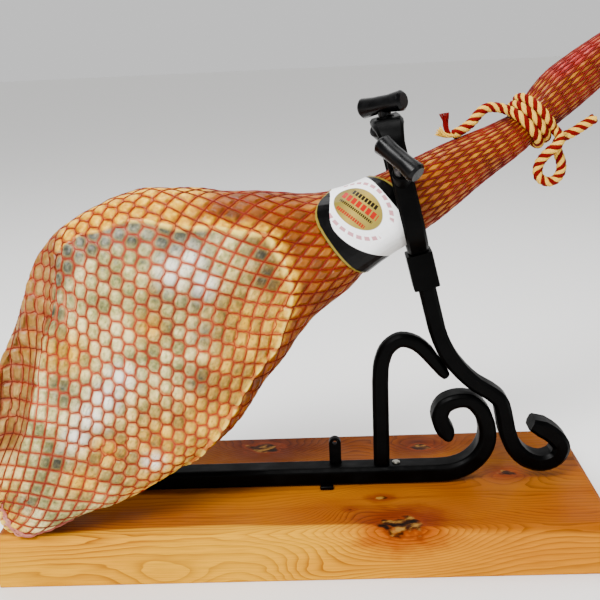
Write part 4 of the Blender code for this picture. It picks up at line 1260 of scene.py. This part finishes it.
class Rope:
    """The red and cream rope: a tail, turns round the shank, a knot with a loop, and a short end."""

    diameter: float = 0.0098
    strand_radius: float = 0.00262
    strand_offset: float = 0.00232
    tail: tuple = (
        (561, 35.6, -2), (574, 33.4, -2), (584, 33.6, -2), (592, 35.3, -2), (600.5, 34.6, -2), (607.5, 29.5, -3),
    )
    bow: tuple = (
        (634.0, -27.5, -21.0),
        (626.0, -30.5, -27.5),
        (617.0, -30.5, -27.0),
        (609.5, -32.5, -22.5),
        (602.5, -36.5, -18.5),
        (596.8, -45.0, -17.5),
        (600.2, -54.5, -17.5),
        (608.0, -58.0, -17.5),
        (616.5, -55.0, -17.5),
        (622.0, -47.0, -18.0),
        (625.0, -38.5, -17.0),
        (629.5, -32.0, -16.5),
        (636.5, -30.8, -18.5),
        (645.0, -32.8, -20.0),
        (655.0, -34.4, -19.5),
        (670.0, -36.4, -19.0),
    )
    first_turn: float = 25.0
    last_turn: float = 850.0
    wrap_from: float = 614.9
    wrap_to: float = 634.6

    def __init__(self, ham: Ham) -> None:
        """Keep the ham, which the turns lie on."""
        self.ham = ham

    def turn_place(self, degrees: float) -> Vector:
        """A point on the rope's middle where it winds over the shank, by the angle wound so far."""
        share = degrees / self.last_turn
        along = self.wrap_from + (self.wrap_to - self.wrap_from) * share
        middle = HAM.place(along, -2.5, 0)
        angle = math.radians(degrees)
        way = HAM.across * math.cos(angle) - HAM.deep * math.sin(angle)
        spot = self.ham.surface.ray_cast(middle, way)[0]
        return spot + way * self.diameter * 0.5

    def route(self) -> np.ndarray:
        """The rope's middle from the tip of its tail to its short end."""
        points = [HAM.place(*row) for row in self.tail]
        angles = np.linspace(self.first_turn, self.last_turn, 60)
        points += [self.turn_place(a) for a in angles]
        points += [HAM.place(*row) for row in self.bow]
        return smooth_line(points, 0.002)

    def lay(self, places: np.ndarray, length: float) -> np.ndarray:
        """The angle that the strands have twisted through: slowly round the shank, faster where the rope is free."""
        tail, bow = 0.062, 0.190
        free = 1 - step_between(places, tail, tail + 0.02) * step_between(length - places, bow, bow + 0.02)
        rate = 2 * math.pi / np.where(free > 0.5, 0.0195, 0.024)
        return np.concatenate([[0], np.cumsum(np.diff(places) * rate[1:])])

    def build(self) -> None:
        """Twist four strands along the route and fray the tail's end."""
        line = self.route()
        steps = np.linalg.norm(np.diff(line, axis=0), axis=1)
        places = np.concatenate([[0], np.cumsum(steps)])
        self.length = float(places[-1])
        self.path = line
        twist = self.lay(places, self.length)
        ahead = np.gradient(line, axis=0)
        ahead /= np.linalg.norm(ahead, axis=1)[:, None]
        side = np.zeros_like(line)
        side[0] = np.cross(ahead[0], (0.3, 0.9, 0.1))
        for i in range(1, len(line)):
            side[i] = side[i - 1] - ahead[i] * np.dot(side[i - 1], ahead[i])
            side[i] /= np.linalg.norm(side[i])
        side[0] /= np.linalg.norm(side[0])
        other = np.cross(ahead, side)
        shape = bmesh.new()
        for k in range(4):
            angle = twist + k * math.pi / 2
            swing = side * np.cos(angle)[:, None] + other * np.sin(angle)[:, None]
            strand = line + swing * self.strand_offset
            mesh = tube_mesh("strand", [strand], [self.strand_radius], 2)
            for face in mesh.polygons:
                face.material_index = k % 2
            shape.from_mesh(mesh)
            bpy.data.meshes.remove(mesh)
        lay = shape.loops.layers.uv.new("lay")
        self.map_strands(shape, lay, line, places)
        self.piece = piece_from(shape, "twisted_rope", [], 60)
        self.tufts = [self.tuft(label, rows, turn) for label, rows, turn in self.tuft_routes()]

    def map_strands(self, shape: bmesh.types.BMesh, lay: Any, line: np.ndarray, places: np.ndarray) -> None:
        """Store the distance along the rope and the way round it for the yarns."""
        tree = KDTree(len(line))
        for i, point in enumerate(line):
            tree.insert(point, i)
        tree.balance()
        ahead = np.gradient(line, axis=0)
        for vertex in shape.verts:
            spot, index, _ = tree.find(vertex.co)
            direction = Vector(ahead[index]).normalized()
            away = vertex.co - spot
            round_it = math.atan2(away.dot(direction.orthogonal().normalized()), away.dot(direction.cross(direction.orthogonal()).normalized()))
            along = places[index] + away.dot(direction)
            for loop in vertex.link_loops:
                loop[lay].uv = (round_it / (2 * math.pi), along / MM)

    def tuft_routes(self) -> list[tuple[str, list[tuple[float, float, float]], int]]:
        """Routes of the frayed tips: the red strands stand up and the cream ones point back."""
        red = [(562, 35.5, -2), (558.5, 38, -2), (559.5, 45, -2), (563.5, 52, -2), (566.5, 57, -2)]
        cream = [(562, 35.5, -2), (557, 38, -3), (553.5, 42.5, -3), (551, 48.5, -3)]
        return [("red", red, 0), ("cream", cream, 1)]

    def tuft(self, label: str, rows: list[tuple[float, float, float]], turn: int) -> bpy.types.Object:
        """A loose bundle of yarns that spreads towards its cut end."""
        line = smooth_line([HAM.place(*row) for row in rows], 0.0015)
        ahead = np.gradient(line, axis=0)
        ahead /= np.linalg.norm(ahead, axis=1)[:, None]
        side = np.cross(ahead, np.array(HAM.deep))
        side /= np.linalg.norm(side, axis=1)[:, None]
        other = np.cross(ahead, side)
        share = np.linspace(0, 1, len(line))
        spread = 0.0013 + 0.0016 * np.maximum(share - 0.72, 0) / 0.28 + 0.0009 * share
        lines = []
        for k in range(14):
            angle = k * 2.4 + turn + share * 2.2
            reach = spread * math.sqrt((k + 0.5) / 14) * 1.35
            swing = side * np.cos(angle)[:, None] + other * np.sin(angle)[:, None]
            lines.append(line + swing * reach[:, None])
        radius = np.interp(share, [0, 0.85, 1], [0.00075, 0.00070, 0.00045])
        mesh = tube_mesh("frayed_" + label, lines, [radius] * len(lines), 1)
        mesh.shade_smooth()
        layer = mesh.uv_layers.new(name="lay")
        corners = np.zeros(len(mesh.loops), int)
        mesh.loops.foreach_get("vertex_index", corners)
        points = np.zeros(len(mesh.vertices) * 3)
        mesh.vertices.foreach_get("co", points)
        along = HAM.read(points.reshape(-1, 3))[:, 0]
        layer.data.foreach_set("uv", np.column_stack([along * 0, along])[corners].ravel())
        return link_object("frayed_" + label, mesh)

    def dress(self) -> None:
        red = CottonStrand("dyed_cotton_red", 0.85, "#420000", "#880500").material()
        cream = CottonStrand("dyed_cotton_cream", 0.85, "#B87E10", "#FFD65C").material()
        self.piece.data.materials.append(red)
        self.piece.data.materials.append(cream)
        for piece, material in zip(self.tufts, (red, cream)):
            piece.data.materials.append(material)
        for piece in [self.piece, *self.tufts]:
            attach(piece, Body.STAND.value)
        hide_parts("rope_wraps", "rope_tail", "rope_loop", "rope_end")
        LOG.info("rope of %.3f m", self.length)


class Stand:
    """The forged iron stand: its bars, its clamp's ring, the sleeve and the rail's fittings."""

    bars: tuple = ("rail", "column", "arch_bar", "head", "sleeve", "rail_lug", "rail_tab")
    screws: tuple = ("rail_screw_right", "rail_screw_left")
    edge_round: dict = {"rail": 0.0016, "column": 0.0014, "arch_bar": 0.0013, "head": 0.0010}

    def soften(self, node: str) -> bpy.types.Object:
        """Copy a CAD node and round its edges."""
        shape = merged_copy(node)
        bmesh.ops.dissolve_limit(shape, angle_limit=math.radians(0.5), verts=shape.verts[:], edges=shape.edges[:])
        piece = piece_from(shape, node + "_forged", [], 40)
        rounding = piece.modifiers.new("round", "BEVEL")
        rounding.width = self.edge_round.get(node, 0.0007)
        rounding.segments = 3
        rounding.limit_method = "ANGLE"
        rounding.angle_limit = math.radians(28)
        rounding.harden_normals = True
        return piece

    def build(self) -> None:
        """Make the softened bars."""
        self.pieces = {node: self.soften(node) for node in self.bars}

    def dress(self) -> None:
        """Enamel the iron, and give the screws bare steel."""
        iron = BlackForgedIron().material()
        for node, piece in self.pieces.items():
            piece.data.materials.append(iron)
            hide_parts(node)
            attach(piece, Body.STAND.value)
        steel = TurnedSteel("zinc_plated_screw", 0.3, "#B9B4A6").material()
        for node in self.screws:
            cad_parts[node].data.materials.clear()
            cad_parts[node].data.materials.append(steel)
        LOG.info("iron stand with %d bars", len(self.pieces))


class ClampScrews:
    """The three clamp screws with their T-shaped knobs."""

    names: tuple = ("top", "front", "rear")

    def build(self) -> None:
        """Make the knobs with softened edges."""
        self.knobs = {}
        for name in self.names:
            shape = merged_copy(name + "_knob")
            bmesh.ops.dissolve_limit(shape, angle_limit=math.radians(0.5), verts=shape.verts[:], edges=shape.edges[:])
            piece = piece_from(shape, name + "_knob_moulded", [], 40)
            rounding = piece.modifiers.new("round", "BEVEL")
            rounding.width = 0.0009
            rounding.segments = 3
            rounding.limit_method = "ANGLE"
            rounding.angle_limit = math.radians(30)
            rounding.harden_normals = True
            self.knobs[name] = piece

    def dress(self) -> None:
        """Give the knobs plastic and the spindles steel, each on its own body."""
        plastic = MouldedPhenolic().material()
        steel = TurnedSteel().material()
        for name, piece in self.knobs.items():
            piece.data.materials.append(plastic)
            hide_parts(name + "_knob")
            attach(piece, name + "_knob")
            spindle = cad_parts[name + "_spindle"].data
            spindle.materials.clear()
            spindle.materials.append(steel)
        LOG.info("%d clamp screws", len(self.knobs))


class Board:
    """The wooden board."""

    def build(self) -> None:
        """Nothing new is needed: the CAD board keeps its chamfers."""

    def dress(self) -> None:
        """Give the board its oiled wood."""
        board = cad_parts["board"].data
        board.materials.clear()
        board.materials.append(OiledCypress().material())
        LOG.info("board")


class Studio:
    """The floor, the lights and the camera."""

    focal_mm: float = 51.0
    place: Vector = Vector((0.03754, -0.80868, 0.51051))
    pitch: float = -0.305663
    heading: float = -0.039589
    roll: float = -0.047662
    room: float = 0.45
    backdrop: float = 1.5
    skyline: float = 0.79

    def camera(self) -> None:
        """Stand the camera in front of the ham, looking slightly down."""
        right = Vector((math.cos(self.heading), -math.sin(self.heading), 0))
        level = Vector((math.sin(self.heading), math.cos(self.heading), 0))
        ahead = level * math.cos(self.pitch) + Vector((0, 0, math.sin(self.pitch)))
        up = right.cross(ahead)
        tilted = right * math.cos(self.roll) + up * math.sin(self.roll)
        upright = up * math.cos(self.roll) - right * math.sin(self.roll)
        data = bpy.data.cameras.new("camera")
        data.lens = self.focal_mm
        data.sensor_width = 36.0
        camera = bpy.data.objects.new("camera", data)
        camera.matrix_world = Matrix.Translation(self.place) @ Matrix((tilted, upright, -ahead)).transposed().to_4x4()
        bpy.context.scene.collection.objects.link(camera)
        bpy.context.scene.camera = camera

    def light(self, name: str, place: Sequence[float], aim: Sequence[float], size: float, power: float) -> None:
        """Hang one square soft light at a place and turn it towards its aim."""
        data = bpy.data.lights.new(name, "AREA")
        data.size = size
        data.energy = power
        lamp = bpy.data.objects.new(name, data)
        lamp.location = place
        lamp.rotation_euler = (Vector(aim) - Vector(place)).to_track_quat("-Z", "Y").to_euler()
        bpy.context.scene.collection.objects.link(lamp)

    def surroundings(self) -> None:
        """A bright white backdrop behind the ham that falls off to a dimmer room in front."""
        world = bpy.data.worlds.new("studio")
        world.use_nodes = True
        tree = world.node_tree
        shader = tree.nodes["Background"]
        shader.inputs["Color"].default_value = linear("#FFFFFF")
        way = add_node(tree, "TexCoord").outputs["Generated"]
        axes = add_node(tree, "SeparateXYZ", {"Vector": way}).outputs
        inputs = {"Value": axes[1], "From Min": -0.1, "From Max": 0.75, "To Min": self.room, "To Max": self.backdrop}
        level = add_node(tree, "MapRange", inputs, interpolation_type="SMOOTHSTEP").outputs["Result"]
        inputs = {"Value": axes[2], "From Min": 0.04, "From Max": 0.22, "To Min": 0.0, "To Max": 1.0}
        high = add_node(tree, "MapRange", inputs, interpolation_type="SMOOTHSTEP").outputs["Result"]
        level = add_node(tree, "Mix", {"Factor": high, 2: self.skyline, 3: level}, data_type="FLOAT").outputs[0]
        tree.links.new(level, shader.inputs["Strength"])
        bpy.context.scene.world = world

    def build(self) -> None:
        """Make the whole studio."""
        shape = bmesh.new()
        bmesh.ops.create_grid(shape, x_segments=1, y_segments=1, size=12.0)
        floor = piece_from(shape, "studio_floor", [PaleFloor().material()])
        self.light("key", (-0.7, -1.3, 1.8), (0.0, 0.0, 0.22), 0.8, 84)
        self.light("fill", (1.5, -1.5, 1.0), (0.0, 0.0, 0.2), 1.2, 12)
        self.light("top", (0.1, 0.3, 2.0), (0.0, 0.0, 0.1), 1.0, 26)
        self.surroundings()
        self.camera()


def main() -> None:
    """Build every sub-assembly in order."""
    logging.basicConfig(level=logging.INFO, format="%(name)s: %(message)s")
    studio = Studio()
    studio.build()
    ham = Ham()
    ham.build()
    rope = Rope(ham)
    rope.build()
    rope.dress()
    ham.dress()
    for part in (LabelBand(), Stand(), ClampScrews(), Board()):
        part.build()
        part.dress()


if __name__ == "__main__":
    main()
